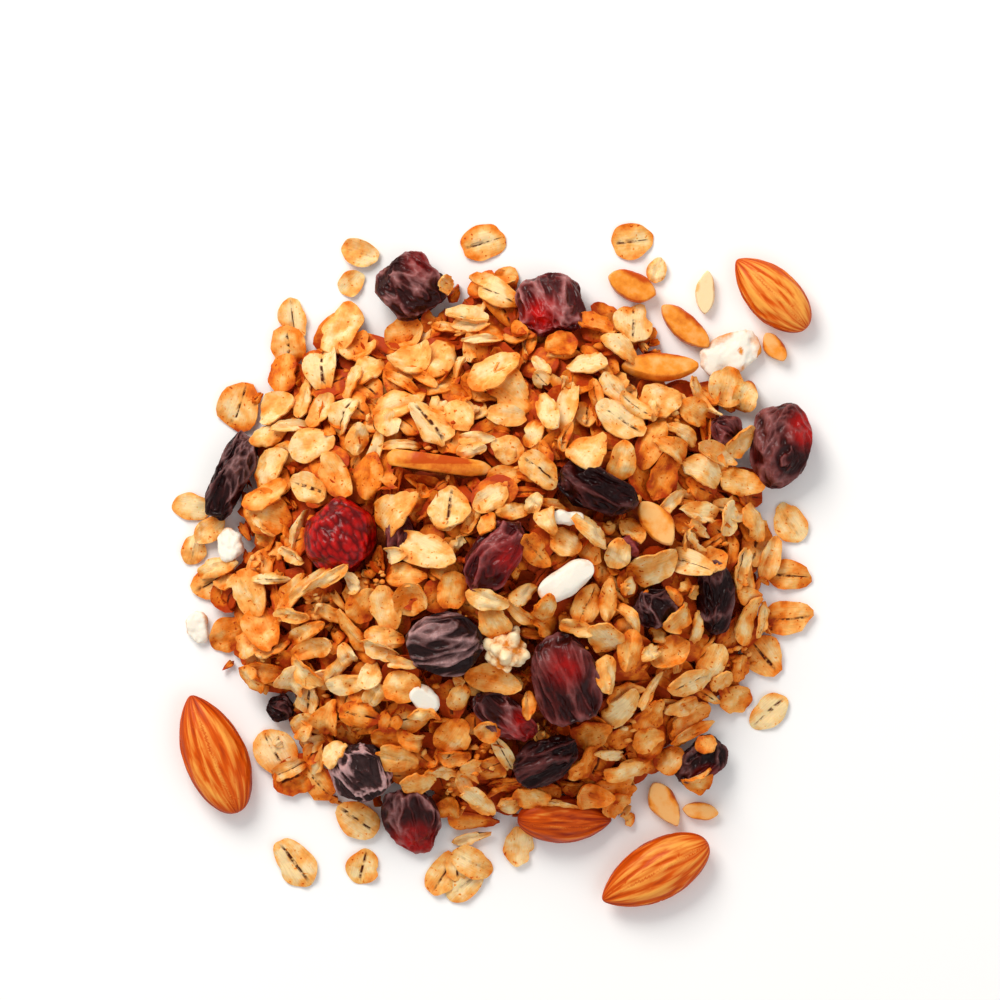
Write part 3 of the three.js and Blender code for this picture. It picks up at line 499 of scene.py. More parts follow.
def directions_of(points):
    """The middle of a piece, its long, broad and thin directions, and its half sizes."""
    mean = points.mean(0)
    axes = np.round(np.linalg.eigh(np.cov((points - mean).T))[1].T[::-1], 6)
    # The solver may give an axis either way round, so each is turned to one side.
    if axes[0][np.argmax(np.abs(axes[0]))] < 0:
        axes[0] *= -1
    if axes[2][2] < 0:
        axes[2] *= -1
    axes[1] = np.cross(axes[2], axes[0])
    reach = (points - mean) @ axes.T
    low, high = reach.min(0), reach.max(0)
    return mean + ((low + high) / 2) @ axes, axes, (high - low) / 2


# Materials


def new_material(name):
    """An empty material, its shader, and the function that adds nodes to it."""
    material = bpy.data.materials.new(name)
    material.use_nodes = True
    tree = material.node_tree

    def add(kind, inputs=None, out=0, stops=(), **settings):
        """Adds a node with its settings, ramp stops and inputs, each a link or a value."""
        node = tree.nodes.new("ShaderNode" + kind)
        for key, value in settings.items():
            setattr(node, key, value)
        for i, (position, colour) in enumerate(stops):
            if i >= len(node.color_ramp.elements):
                node.color_ramp.elements.new(position)
            node.color_ramp.elements[i].position = position
            node.color_ramp.elements[i].color = colour
        for key, value in (inputs or {}).items():
            if isinstance(value, bpy.types.NodeSocket):
                tree.links.new(value, node.inputs[key])
            else:
                node.inputs[key].default_value = value
        return node.outputs[out]

    return material, tree.nodes["Principled BSDF"], add


def finish_shader(material, shader, links, values):
    """Links and sets the shader's own inputs."""
    for key, value in links.items():
        material.node_tree.links.new(value, shader.inputs[key])
    for key, value in values.items():
        shader.inputs[key].default_value = value
    return material


def per(size):
    """The scale of a pattern whose features are that many metres apart."""
    return 1 / size


def toasted_oat(oats):
    """Rolled oats baked in syrup: pale waxy faces, browned edges, a dark broken crease, and painted
    shade deep in the pile.
    """
    material, shader, add = new_material("Rolled_oat_baked_in_syrup")
    where = add("TexCoord", out="Object")
    uv = add("TexCoord", out="UV")
    toast = add("Attribute", attribute_name="toast", out="Fac")
    tint = add("Attribute", attribute_name="tint", out="Fac")
    other = add("Math", {0: tint, 1: 57.0}, operation="MULTIPLY")
    # Distance from the oat's middle, 1 at its edge, drives the browning of the edge.
    centred = add("Mapping", {"Vector": uv, "Location": (-1, -1, 0), "Scale": (2, 2, 0)})
    radius = add("VectorMath", {0: centred}, out="Value", operation="LENGTH")
    edge = add(
        "MapRange", {"Value": radius, "From Min": 0.4, "From Max": 1.05, "To Max": 0.26},
        interpolation_type="SMOOTHSTEP",
    )
    blotch = add(
        "TexNoise", {"Vector": where, "Scale": per(3.2 * MM), "Detail": 3.0, "Roughness": 0.55}
    )
    mottle = add(
        "MapRange",
        {"Value": blotch, "From Min": 0.32, "From Max": 0.68, "To Min": -0.26, "To Max": 0.32},
    )
    # Painted shade: the deeper a point lies under the pile's skin, the darker and redder its colour,
    # which stands for the shade between the oats.
    buried = add("Attribute", attribute_name="buried", out="Fac")
    shade = add("Math", {0: toast, 1: edge}, operation="ADD")
    shade = add("Math", {0: shade, 1: mottle}, operation="ADD")
    shade = add("Math", {0: buried, 1: 0.5, 2: shade}, operation="MULTIPLY_ADD")
    # Flecks of bran, drawn coarser than real ones so that they show.
    fleck = add("TexNoise", {"Vector": where, "Scale": per(0.7 * MM), "Detail": 1.0})
    fleck = add("MapRange", {"Value": fleck, "From Min": 0.66, "From Max": 0.76, "To Max": 0.5})
    shade = add("Math", {0: shade, 1: fleck}, operation="ADD")
    colour = add("ValToRGB", {"Fac": shade}, stops=[
        (0.1, tuple(oats.pale)), (0.38, tuple(oats.gold)),
        (0.68, tuple(oats.brown)), (1.0, tuple(oats.dark)),
    ])
    # Bran fibres run the oat's length, about 0.25 mm apart.
    along = add("Mapping", {"Vector": uv, "Scale": (3, 26, 1)})
    fibre = add(
        "TexNoise", {"Vector": along, "W": other, "Scale": 1.0, "Detail": 2.0},
        noise_dimensions="4D",
    )
    fibre_shade = add(
        "MapRange",
        {"Value": fibre, "From Min": 0.35, "From Max": 0.65, "To Min": 0.9, "To Max": 1.05},
    )
    grained = add("VectorMath", {0: colour, 1: fibre_shade}, operation="MULTIPLY")
    # The crease is a thin dark line down the middle that wanders and breaks off.
    wander = add(
        "TexNoise", {"Vector": along, "W": other, "Scale": 0.4, "Detail": 2.0},
        noise_dimensions="4D",
    )
    bent = add("Math", {0: wander, 1: 0.5}, operation="SUBTRACT")
    across = add("SeparateXYZ", {"Vector": centred}, out="Y")
    off = add("Math", {0: bent, 1: 0.5, 2: across}, operation="MULTIPLY_ADD")
    off = add("Math", {0: off}, operation="ABSOLUTE")
    line = add(
        "MapRange",
        {"Value": off, "From Min": 0.03, "From Max": 0.11, "To Min": 1.0, "To Max": 0.0},
    )
    ends = add("SeparateXYZ", {"Vector": centred}, out="X")
    ends = add("Math", {0: ends}, operation="ABSOLUTE")
    ends = add(
        "MapRange", {"Value": ends, "From Min": 0.62, "From Max": 0.9, "To Min": 1.0, "To Max": 0.0}
    )
    dashes = add("TexNoise", {"Vector": where, "Scale": per(1.3 * MM), "Detail": 3.0})
    breaks = add("MapRange", {"Value": dashes, "From Min": 0.4, "From Max": 0.54})
    creased = add("MapRange", {"Value": tint, "From Min": 0.45, "From Max": 0.65})
    crease = add("Math", {0: line, 1: ends}, operation="MULTIPLY")
    crease = add("Math", {0: crease, 1: breaks}, operation="MULTIPLY")
    crease = add("Math", {0: crease, 1: creased}, operation="MULTIPLY")
    finished = add("Mix", {0: crease, 6: grained, 7: tuple(oats.crease)}, out=2, data_type="RGBA")
    # Dry faces are matt; syrup gathers in patches and dulls less.
    wet = add(
        "MapRange",
        {"Value": blotch, "From Min": 0.4, "From Max": 0.62, "To Min": 0.72, "To Max": 0.5},
    )
    grit = add("TexNoise", {"Vector": where, "Scale": per(0.8 * MM), "Detail": 2.0})
    relief = add("Math", {0: fibre, 1: 0.45, 2: grit}, operation="MULTIPLY_ADD")
    relief = add("Math", {0: crease, 1: -1.4, 2: relief}, operation="MULTIPLY_ADD")
    cockle = add("TexNoise", {"Vector": where, "Scale": per(2.0 * MM), "Detail": 2.0})
    relief = add("Math", {0: cockle, 1: 2.4, 2: relief}, operation="MULTIPLY_ADD")
    bump = add("Bump", {"Height": relief, "Strength": 0.42, "Distance": 0.2 * MM})
    return finish_shader(
        material, shader,
        {"Base Color": finished, "Roughness": wet, "Normal": bump},
        {"IOR": 1.4, "Specular IOR Level": 0.16, "Subsurface Weight": 0.2,
         "Subsurface Radius": (1.0, 0.42, 0.14), "Subsurface Scale": 1.1 * MM},
    )


def shaded_crumb_core():
    """The crumb core: rough, in dark golden browns that paint the shade seen only deep between the
    oats.
    """
    material, shader, add = new_material("Crumb_core_painted_shade")
    lumps = add(
        "TexNoise", {"Vector": add("TexCoord", out="Object"), "Scale": per(1.6 * MM),
                     "Detail": 5.0, "Roughness": 0.65},
    )
    # Painted shade: these dark browns stand for the shade in the gaps between the oats.
    colour = add("ValToRGB", {"Fac": lumps}, stops=[
        (0.3, linear("#7A1E04")), (0.52, linear("#B0480C")), (0.75, linear("#CE7A2A")),
    ])
    bump = add("Bump", {"Height": lumps, "Strength": 0.9, "Distance": 0.6 * MM})
    return finish_shader(
        material, shader, {"Base Color": colour, "Normal": bump},
        {"Roughness": 0.6, "IOR": 1.46, "Specular IOR Level": 0.2},
    )


def dried_fruit(name, skin, fold, fruit, shine):
    """Dried fruit skin: dust and a painted sheen along its ridges, painted shade and more gloss in the
    hollows between.
    """
    material, shader, add = new_material(name)
    where = add("TexCoord", out="Object")
    depth = add("Attribute", attribute_name="fold", out="Fac")
    patch = add(
        "TexNoise", {"Vector": where, "Scale": per(2.6 * MM), "Detail": 4.0, "Roughness": 0.6}
    )
    shade = add("Math", {0: patch, 1: 0.5, 2: depth}, operation="MULTIPLY_ADD")
    between = tuple((a + b) / 2 for a, b in zip(skin, fold))
    # Painted shade: the hollows take the darker fold colour, the ridges the skin colour.
    colour = add("ValToRGB", {"Fac": shade}, stops=[
        (0.3, tuple(skin)), (0.62, between), (0.98, tuple(fold)),
    ])
    # Where the skin stayed clear, the red flesh shows through it.
    window = add("Attribute", attribute_name="clear", out="Fac")
    thin = add("MapRange", {"Value": patch, "From Min": 0.35, "From Max": 0.6, "To Min": 0.3})
    window = add("Math", {0: window, 1: thin}, operation="MULTIPLY")
    colour = add("Mix", {0: window, 6: colour, 7: tuple(fruit.clear)}, out=2, data_type="RGBA")
    # Sugar bloom and a painted sheen grey the raised, dry patches.
    dust_and_sheen = add("Attribute", attribute_name="dust_and_sheen", out="Fac")
    dust = add(
        "TexNoise", {"Vector": where, "Scale": per(1.5 * MM), "Detail": 5.0, "Roughness": 0.7}
    )
    dust_and_sheen_patches = add("MapRange", {"Value": dust, "From Min": 0.3, "From Max": 0.56, "To Min": 0.3})
    raised = add("MapRange", {"Value": depth, "From Max": 0.6, "To Min": 1.0, "To Max": 0.02})
    share = add("Math", {0: dust_and_sheen_patches, 1: raised}, operation="MULTIPLY")
    share = add("Math", {0: share, 1: dust_and_sheen}, operation="MULTIPLY")
    covered = add("Math", {0: 1.0, 1: window}, operation="SUBTRACT", use_clamp=True)
    share = add("Math", {0: share, 1: covered}, operation="MULTIPLY")
    finished = add(
        "Mix", {0: share, 6: colour, 7: tuple(fruit.dust_and_sheen)}, out=2, data_type="RGBA"
    )
    dull = add(
        "MapRange",
        {"Value": share, "From Max": 0.4, "To Min": 0.55 - 0.2 * shine, "To Max": 0.7},
    )
    wrinkle = add(
        "TexNoise", {"Vector": where, "Scale": per(0.8 * MM), "Detail": 3.0, "Distortion": 0.8}
    )
    bump = add("Bump", {"Height": wrinkle, "Strength": 0.5, "Distance": 0.25 * MM})
    return finish_shader(
        material, shader,
        {"Base Color": finished, "Roughness": dull, "Normal": bump},
        {"IOR": 1.45, "Specular IOR Level": 0.08, "Coat Weight": 0.25 * shine,
         "Coat Roughness": 0.12, "Subsurface Weight": 0.12 * shine,
         "Subsurface Radius": (1.0, 0.15, 0.1), "Subsurface Scale": 1.2 * MM},
    )


def almond_skin(nuts):
    """Roasted almond skin: papery, streaked, ribbed from base to tip, with a painted sheen on its ribs
    and painted shade in its grooves and round its sides.
    """
    material, shader, add = new_material("Almond_skin_roasted")
    rib = add("Attribute", attribute_name="rib", out="Fac")
    side = add("Attribute", attribute_name="side", out="Fac")
    uv = add("TexCoord", out="UV")
    drawn_out = add("Mapping", {"Vector": uv, "Scale": (2.4, 24, 1)})
    streak = add(
        "TexNoise",
        {"Vector": drawn_out, "Scale": 1.0, "Detail": 3.0, "Roughness": 0.6, "Distortion": 0.5},
    )
    fibre = add("TexNoise", {
        "Vector": add("Mapping", {"Vector": uv, "Scale": (5, 70, 1)}), "Scale": 1.0, "Detail": 3.0,
    })
    shade = add("Math", {0: rib, 1: 0.42, 2: streak}, operation="MULTIPLY_ADD")
    shade = add("Math", {0: fibre, 1: 0.24, 2: shade}, operation="MULTIPLY_ADD")
    # Painted shade: the sides darken the skin.
    shade = add("Math", {0: side, 1: -0.3, 2: shade}, operation="MULTIPLY_ADD")
    tone = add("Attribute", attribute_name="tone", out="Fac")
    shade = add("Math", {0: shade, 1: tone}, operation="SUBTRACT")
    # Pale rib crests and dark grooves paint sheen and shade over the skin's own streaks.
    colour = add("ValToRGB", {"Fac": shade}, stops=[
        (0.4, tuple(nuts.skin_dark)), (0.72, tuple(nuts.skin)), (1.0, tuple(nuts.skin_pale)),
    ])
    bump = add("Bump", {"Height": shade, "Strength": 0.4, "Distance": 0.25 * MM})
    return finish_shader(
        material, shader, {"Base Color": colour, "Normal": bump},
        {"Roughness": 0.42, "IOR": 1.45, "Specular IOR Level": 0.14,
         "Coat Weight": 0.03, "Coat Roughness": 0.3},
    )


def roasted_flesh(name, flesh, golden, toast, glaze, spacing):
    """Cut flesh, roasted: even and waxy inside, browned in patches and along its edges."""
    material, shader, add = new_material(name)
    where = add("TexCoord", out="Object")
    edge = add("Attribute", attribute_name="edge", out="Fac")
    patch = add(
        "TexNoise", {"Vector": where, "Scale": per(spacing), "Detail": 4.0, "Roughness": 0.6}
    )
    # For the popped grain, the edge is the crease between its lobes, so its browning there is painted
    # shade.
    shade = add("Math", {0: edge, 1: 0.45, 2: patch}, operation="MULTIPLY_ADD")
    tone = add("Attribute", attribute_name="tone", out="Fac")
    shade = add("Math", {0: shade, 1: tone}, operation="ADD")
    colour = add("ValToRGB", {"Fac": shade}, stops=[
        (0.42, tuple(flesh)), (0.68, tuple(golden)), (1.0, tuple(toast)),
    ])
    grain = add("TexNoise", {"Vector": where, "Scale": per(0.5 * MM), "Detail": 3.0})
    bump = add("Bump", {"Height": grain, "Strength": 0.4, "Distance": 0.15 * MM})
    return finish_shader(
        material, shader, {"Base Color": colour, "Normal": bump},
        {"Roughness": 0.5 - 0.2 * glaze, "IOR": 1.46, "Specular IOR Level": 0.16,
         "Coat Weight": 0.1 * glaze, "Coat Roughness": 0.25, "Subsurface Weight": 0.15,
         "Subsurface Radius": (1.0, 0.7, 0.45), "Subsurface Scale": 1.0 * MM},
    )


# Fruit


def fold_at(point, spacing):
    """How deep between the ridges of dried skin a point lies: 0 on a ridge, 1 in a hollow."""
    bent = point / spacing + 0.5 * noise.noise_vector(point / (1.6 * spacing))
    broad = min(1.0, 2.6 * abs(noise.noise(bent)))
    fine = min(1.0, 2.6 * abs(noise.noise(bent * 2.6 + Vector((7, 3, 5)))))
    hair = min(1.0, 2.4 * abs(noise.noise(bent * 5.4 + Vector((1, 9, 2)))))
    return 0.54 * broad**0.8 + 0.34 * fine**0.8 + 0.12 * hair


def bumps_at(point, spacing):
    """How deep between the small round bumps of a plump dried skin a point lies."""
    near = noise.voronoi(point / spacing)[0]
    return min(1.0, max(0.0, 1.6 * near[0] - 0.25)) * (1 - 0.4 * min(1.0, 2 * (near[1] - near[0])))


def make_fruit(node, material, slot, spacing, depth, bumpy=0.0):
    """A dried fruit: its solid rounded, then folded inwards as its skin shrank."""
    mesh = rounded(closed_copy(node), 3, kept=1)
    points, normals = points_of(mesh)
    middle, axes, _ = directions_of(points)
    offset = Vector((hash_of(node) % 97, hash_of(node) % 89, hash_of(node) % 83))
    folds = np.empty(len(points))
    drawn = DRAWN_OUT.get(node, 2.0)
    for i, place in enumerate((points - middle) @ axes.T):
        # Folds are drawn out along the fruit.
        at = Vector((place[0] / drawn, place[1], place[2])) + offset * MM
        folds[i] = (1 - bumpy) * fold_at(at, spacing)
        if bumpy:
            folds[i] += bumpy * bumps_at(at, 0.4 * spacing)
    if node == "raisin_right":
        # The scar of its stalk is a ring with a pit.
        away = np.hypot(*(points[:, :2] - on_plan(55.6, 19.6)).T) / MM + 1.6 * (folds - 0.5)
        ring = np.exp(-(((away - 2.2) / 0.8) ** 2)) + np.exp(-((away / 0.9) ** 2))
        folds = np.clip(0.8 * folds + 0.5 * ring * (points[:, 2] > middle[2]), 0, 1)
    # The folds are deep on top and shallow round the sides, where the skin stayed taut.
    deep = depth * (0.35 + 0.65 * np.abs(normals[:, 2]))
    points = points - normals * (folds * deep)[:, None]
    reshaped(mesh, points, node)
    give_attribute(mesh, "fold", folds)
    x, y, radius, strength = CLEAR_SKIN.get(node, (0, 0, 1, 0))
    away = np.hypot(*(points[:, :2] - on_plan(x, y)).T) / (radius * MM)
    give_attribute(mesh, "clear", strength * np.clip(1.5 - away, 0, 1))
    give_attribute(mesh, "dust_and_sheen", DUST_AND_SHEEN.get(node, 0.25))
    return placed(node + "_fruit", mesh, material, slot, [node])


def hash_of(name):
    """A number that a name always gives."""
    return sum((i + 1) * ord(letter) for i, letter in enumerate(name))


# Nuts and coconut


def make_almond(node, nuts, material):
    """A whole almond: rounded, with ribs that run from its base to its tip."""
    mesh = rounded(closed_copy(node), 3)
    points, normals = points_of(mesh)
    middle, axes, half = directions_of(points)
    reach = (points - middle) @ axes.T / half
    # The tip is the slimmer end.
    girth = np.hypot(reach[:, 1], reach[:, 2])
    if girth[reach[:, 0] > 0.6].mean() > girth[reach[:, 0] < -0.6].mean():
        reach[:, 0] *= -1
    around = np.arctan2(reach[:, 2], reach[:, 1])
    ribs = np.empty(len(points))
    for i, (along, angle) in enumerate(zip(reach[:, 0], around)):
        bend = noise.noise(Vector((along * 1.3, math.cos(angle) * 1.2, math.sin(angle) * 1.2)))
        strength = 0.5 + 0.5 * noise.noise(Vector((along * 2, 9 + math.cos(angle) * 3, angle)))
        ribs[i] = strength * math.cos(nuts.rib_count * angle + 7 * bend)
    fade = np.clip(1.15 - np.abs(reach[:, 0]), 0, 1)
    points = points + normals * (ribs * nuts.rib_depth * fade)[:, None]
    reshaped(mesh, points, node)
    give_attribute(mesh, "rib", ribs * 0.5 + 0.5)
    # The skin is darker round the sides, which is painted shade, and at both ends.
    away = np.maximum(1 - np.abs(reach[:, 2]) * 1.5, (np.abs(reach[:, 0]) - 0.86) * 6)
    give_attribute(mesh, "side", np.clip(away, 0, 1))
    give_attribute(mesh, "tone", ROAST_AND_PAINTED_LIGHT.get(node, 0))
    # The seam of the map lies underneath.
    turn = (around / (2 * math.pi) + 0.75) % 1
    give_uv(mesh, np.stack([reach[:, 0] * 0.5 + 0.5, turn], 1))
    return placed(node + "_nut", mesh, material, "almond_skin", [node])


def make_chip(node, name, material, slot, roughness, flat=1.0, taper=0.0):
    """A sliver or chip: its solid rounded, cut flat and pointed by a blade or left torn."""
    mesh = rounded(closed_copy(node), 3)
    points, normals = points_of(mesh)
    middle, axes, half = directions_of(points)
    offset = Vector((hash_of(node) % 71, hash_of(node) % 67, 0)) * MM
    lift = np.array([noise.noise((Vector(p) + offset) / (2.2 * MM)) for p in points])
    fine = np.array([noise.noise((Vector(p) + offset) / (0.8 * MM)) for p in points])
    points = points + normals * ((lift + 0.4 * fine) * roughness)[:, None]
    reach = (points - middle) @ axes.T
    # A blade leaves a flat face with an edge round it.
    cut = half[2] / flat
    reach[:, 2] = np.clip(reach[:, 2], -cut, cut) * flat
    reach[:, 1] *= 1 - taper * np.abs(reach[:, 0] / half[0]) ** 3
    points = middle + reach @ axes
    reshaped(mesh, points, node)
    leaning = reach @ axes[:, 1]
    reach = np.abs(reach / half)
    edge = np.clip(np.maximum(reach[:, 0], reach[:, 1]) * 1.6 - 0.9, 0, 1)
    if slot == "almond_flesh":
        # A sliver browns down its long edges, and one of them more than the other.
        edge = np.clip(reach[:, 1] * 2.0 - 0.9, 0, 1) * np.where(leaning > 0, 1.15, 0.55)
    if node == "coconut_large":
        # Its right end kept a strip of browned rind.
        low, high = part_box(node)
        rind = (points[:, 0] - low.x) / (high.x - low.x) + 0.5 * lift
        edge = np.maximum(edge, np.clip((rind - 0.84) * 12, 0, 1.3))
    give_attribute(mesh, "edge", edge)
    give_attribute(mesh, "tone", ROAST_AND_PAINTED_LIGHT.get(node, 0))
    return placed(name, mesh, material, slot, [node], 35 if flat > 1 else 0)


def make_popped_grain(node, material):
    """A popped grain: small round lobes that burst out of each other, with painted shade in the creases
    between them.
    """
    mesh = rounded(closed_copy(node), 4)
    points, normals = points_of(mesh)
    lobes = np.array([noise.voronoi(Vector(p) / (2.4 * MM))[0][0] for p in points])
    fine = np.array([noise.noise(Vector(p) / (0.9 * MM)) for p in points])
    points = points + normals * ((0.45 - lobes) * 2.2 * MM + fine * 0.18 * MM)[:, None]
    reshaped(mesh, points, node)
    # Painted shade: the creases between the lobes take the toasted colour.
    give_attribute(mesh, "edge", np.clip(lobes * 1.7 - 0.35, 0, 1))
    return placed(node + "_puff", mesh, material, "popped_grain", [node])


# Oats


def oat_form(rng, columns, rows, thickness, broken=False, creased=False):
    """One rolled oat in unit length and width, with its real thickness: a thin curled oval.

    Returns its points, its faces and a map whose first number runs along the oat.
    """
    bm = bmesh.new()
    bmesh.ops.create_grid(bm, x_segments=columns, y_segments=rows, size=1)
    bmesh.ops.solidify(bm, geom=bm.faces[:], thickness=0.1)
    bmesh.ops.recalc_face_normals(bm, faces=bm.faces)
    flat = np.array([v.co for v in bm.verts])
    faces = [[v.index for v in face.verts] for face in bm.faces]
    bm.free()
    upper = flat[:, 2] > flat[:, 2].mean()
    x = flat[:, 0] * np.sqrt(1 - flat[:, 1] ** 2 / 2)
    y = flat[:, 1] * np.sqrt(1 - flat[:, 0] ** 2 / 2)
    uv = np.stack([x * 0.5 + 0.5, y * 0.5 + 0.5], 1)
    radius, angle = np.hypot(x, y), np.arctan2(y, x)
    outline = sum(
        rng.uniform(-0.18, 0.18) / k * np.cos(k * angle + rng.uniform(0, 6.28))
        for k in (2, 3, 4, 5, 7, 9)
    )
    for _ in range(rng.integers(0, 3)):
        tear = (angle - rng.uniform(-3.1, 3.1) + math.pi) % (2 * math.pi) - math.pi
        outline -= rng.uniform(0.05, 0.24) * np.exp(-((tear / 0.2) ** 2))
    outline = 1 + outline * radius**2
    x, y = x * outline, y * outline * (1 - rng.uniform(0.0, 0.22) * x)
    if broken:
        cut = rng.uniform(-0.3, 0.4) + 0.16 * np.sin(5 * y + rng.uniform(0, 6.28))
        x = np.minimum(x, cut)
    # The sheet is folded along the crease, curled from end to end, twisted and cockled.
    strong = rng.random() < 0.35
    fold = rng.uniform(0.6, 1.7) if strong else rng.uniform(-0.3, 0.6)
    curl = rng.normal(0, 1.3 if strong else 0.6)
    sheet = fold * np.abs(y) ** 1.5 + curl * x**2 + rng.normal(0, 0.5) * x * y
    offset = Vector(rng.uniform(0, 50, 3))
    for coarse, height in ((1.6, 0.75), (3.6, 0.5)):
        sheet += [
            height * noise.noise(Vector((i * coarse, j * coarse, 0)) + offset)
            for i, j in zip(x, y)
        ]
    half = 0.5 * thickness * (1 - 0.5 * radius**3)
    groove = 0.3 if creased else rng.choice((0.06, 0.14, 0.3))
    groove = groove * np.exp(-((y / 0.2) ** 2)) * np.clip(1.1 - x**4, 0, 1)
    z = sheet * MM + np.where(upper, half - groove * MM, -half)
    return np.stack([x, y, z - z.mean()], 1), faces, uv


def crumb_form(rng):
    """One crumb in unit size: an uneven lump."""
    bm = bmesh.new()
    bmesh.ops.create_icosphere(bm, subdivisions=1, radius=1)
    points = np.array([v.co for v in bm.verts]) * rng.uniform(0.65, 1.15, (len(bm.verts), 1))
    points *= (1, rng.uniform(0.5, 0.9), rng.uniform(0.35, 0.7))
    faces = [[v.index for v in face.verts] for face in bm.faces]
    bm.free()
    return points, faces, np.full((len(points), 2), 0.7)


def joined(name, forms, landings, pile=None):
    """One mesh from many laid copies of a few forms, which knows how deep in the pile it lies."""
    points, faces, uvs, toast, tint = [], [], [], [], []
    first = 0
    for landing in landings:
        form, form_faces, form_uv = forms[landing["form"] % len(forms)]
        laid = (form * landing["size"]) @ landing["axes"] + landing["middle"]
        # A curled oat's corner would reach below the table, so it stands on that corner.
        laid[:, 2] -= min(0.0, laid[:, 2].min())
        points.append(laid)
        faces.extend([[first + i for i in face] for face in form_faces])
        uvs.append(form_uv)
        toast.append(np.full(len(form), landing["toast"]))
        tint.append(np.full(len(form), landing["tint"]))
        first += len(form)
    points = np.concatenate(points)
    mesh = bpy.data.meshes.new(name)
    mesh.from_pydata(points.tolist(), [], faces)
    mesh.update()
    give_uv(mesh, np.concatenate(uvs))
    give_attribute(mesh, "toast", np.concatenate(toast))
    give_attribute(mesh, "tint", np.concatenate(tint))
    # How deep each point lies, which the oat material turns into painted shade.
    give_attribute(mesh, "buried", pile.burial(points) if pile else 0)
    return mesh


class Pile:
    """The height of all that has been laid, on a grid over the table."""

    def __init__(self, low, high, cell):
        self.cell = cell
        self.low = np.array(low[:2])
        self.columns, self.rows = (int((high[i] - low[i]) / cell) + 1 for i in (0, 1))
        self.x = low[0] + (np.arange(self.columns) + 0.5) * cell
        self.y = low[1] + (np.arange(self.rows) + 0.5) * cell
        self.height = np.zeros((self.rows, self.columns))
        self.target = np.zeros_like(self.height)
        self.kept_clear = np.zeros(self.height.shape, bool)

    def window(self, x, y, reach):
        """The slice of the grid round a place, and each cell's distance from it."""
        column = slice(*np.searchsorted(self.x, (x - reach, x + reach)))
        row = slice(*np.searchsorted(self.y, (y - reach, y + reach)))
        dx, dy = np.meshgrid(self.x[column] - x, self.y[row] - y)
        return (row, column), dx, dy

    def cast(self, tree, low, high, upwards=False):
        """The height where upright rays meet a shape, and not-a-number beside it."""
        found = np.full(self.height.shape, np.nan)
        start, way = (-1, 1) if upwards else (1, -1)
        rows = np.flatnonzero((self.y >= low[1]) & (self.y <= high[1]))
        columns = np.flatnonzero((self.x >= low[0]) & (self.x <= high[0]))
        for i in rows:
            for j in columns:
                hit = tree.ray_cast(Vector((self.x[j], self.y[i], start)), Vector((0, 0, way)))
                if hit[0] is not None:
                    found[i, j] = hit[0].z
        return found

    def land(self, x, y, length, width, thickness, yaw, lean, sink):
        """Lays a thin oval on what is there: it follows the slope, leans and may sink a little."""
        where, dx, dy = self.window(x, y, 0.5 * max(length, width))
        under = self.height[where]
        near = dx * dx + dy * dy < (0.45 * length) ** 2
        if near.sum() < 6:
            return None
        level = np.stack([np.ones(near.sum()), dx[near], dy[near]], 1)
        slope = np.round(np.linalg.lstsq(level, under[near], rcond=None)[0][1:], 6)
        steep = math.hypot(*slope)
        slope = slope / max(1.0, steep / 0.9)
        normal = Vector((-slope[0], -slope[1], 1)).normalized()
        normal = Matrix.Rotation(lean[0], 3, Vector((math.cos(lean[1]), math.sin(lean[1]), 0))) @ normal
        if normal.z < 0.25:
            return None
        along = Vector((math.cos(yaw), math.sin(yaw), 0))
        along = (along - normal * along.dot(normal)).normalized()
        across = normal.cross(along)
        plane = -(normal.x * dx + normal.y * dy) / normal.z
        u = (dx * along.x + dy * along.y + plane * along.z) / (length / 2)
        v = (dx * across.x + dy * across.y + plane * across.z) / (width / 2)
        inside = u * u + v * v < 1
        if inside.sum() < 3:
            return None
        gaps = np.sort(under[inside] - plane[inside])
        rest = gaps[int(sink * (len(gaps) - 1))]
        lowest = math.hypot(along.z * length / 2, across.z * width / 2) + thickness / 2
        middle = max(rest + 0.5 * thickness / normal.z, lowest)
        rest = middle - 0.5 * thickness / normal.z
        return {
            "middle": np.array((x, y, middle)),
            "axes": np.array((along, across, normal)),
            "where": where,
            "inside": inside,
            "top": rest + plane + thickness / normal.z,
        }

    def fits(self, landing, slack, cover):
        """Whether a landing stays under the heap's form and off what is to be seen."""
        inside = landing["inside"]
        over = (landing["top"] - self.target[landing["where"]])[inside]
        if over.max() > slack:
            return False
        return self.kept_clear[landing["where"]][inside].mean() <= cover

    def settle(self, landing):
        """Adds a landing to the pile."""
        height = self.height[landing["where"]]
        inside = landing["inside"]
        height[inside] = np.maximum(height[inside], landing["top"][inside])

    def burial(self, points):
        """How deep each point lies under the pile's skin, from 0 to 1."""
        column = np.clip(((points[:, 0] - self.low[0]) / self.cell).astype(int), 0, self.columns - 1)
        row = np.clip(((points[:, 1] - self.low[1]) / self.cell).astype(int), 0, self.rows - 1)
        skin = smoothed(self.height, 36)[row, column]
        return np.clip((skin + 0.7 * MM - points[:, 2]) / (3.2 * MM), 0, 1)

    def pick(self, rng, cells, tries):
        """A cell where the pile falls short of its form, of a few drawn at random."""
        drawn = cells[rng.integers(0, len(cells), tries)]
        short = (self.target - self.height).ravel()[drawn]
        row, column = divmod(int(drawn[np.argmax(short)]), self.columns)
        jitter = rng.uniform(-0.5, 0.5, 2) * self.cell
        return self.x[column] + jitter[0], self.y[row] + jitter[1]


def smoothed(field, passes):
    """The field after so many light blurs."""
    for _ in range(passes):
        field = (
            field * 2 + np.roll(field, 1, 0) + np.roll(field, -1, 0)
            + np.roll(field, 1, 1) + np.roll(field, -1, 1)
        ) / 6
    return field


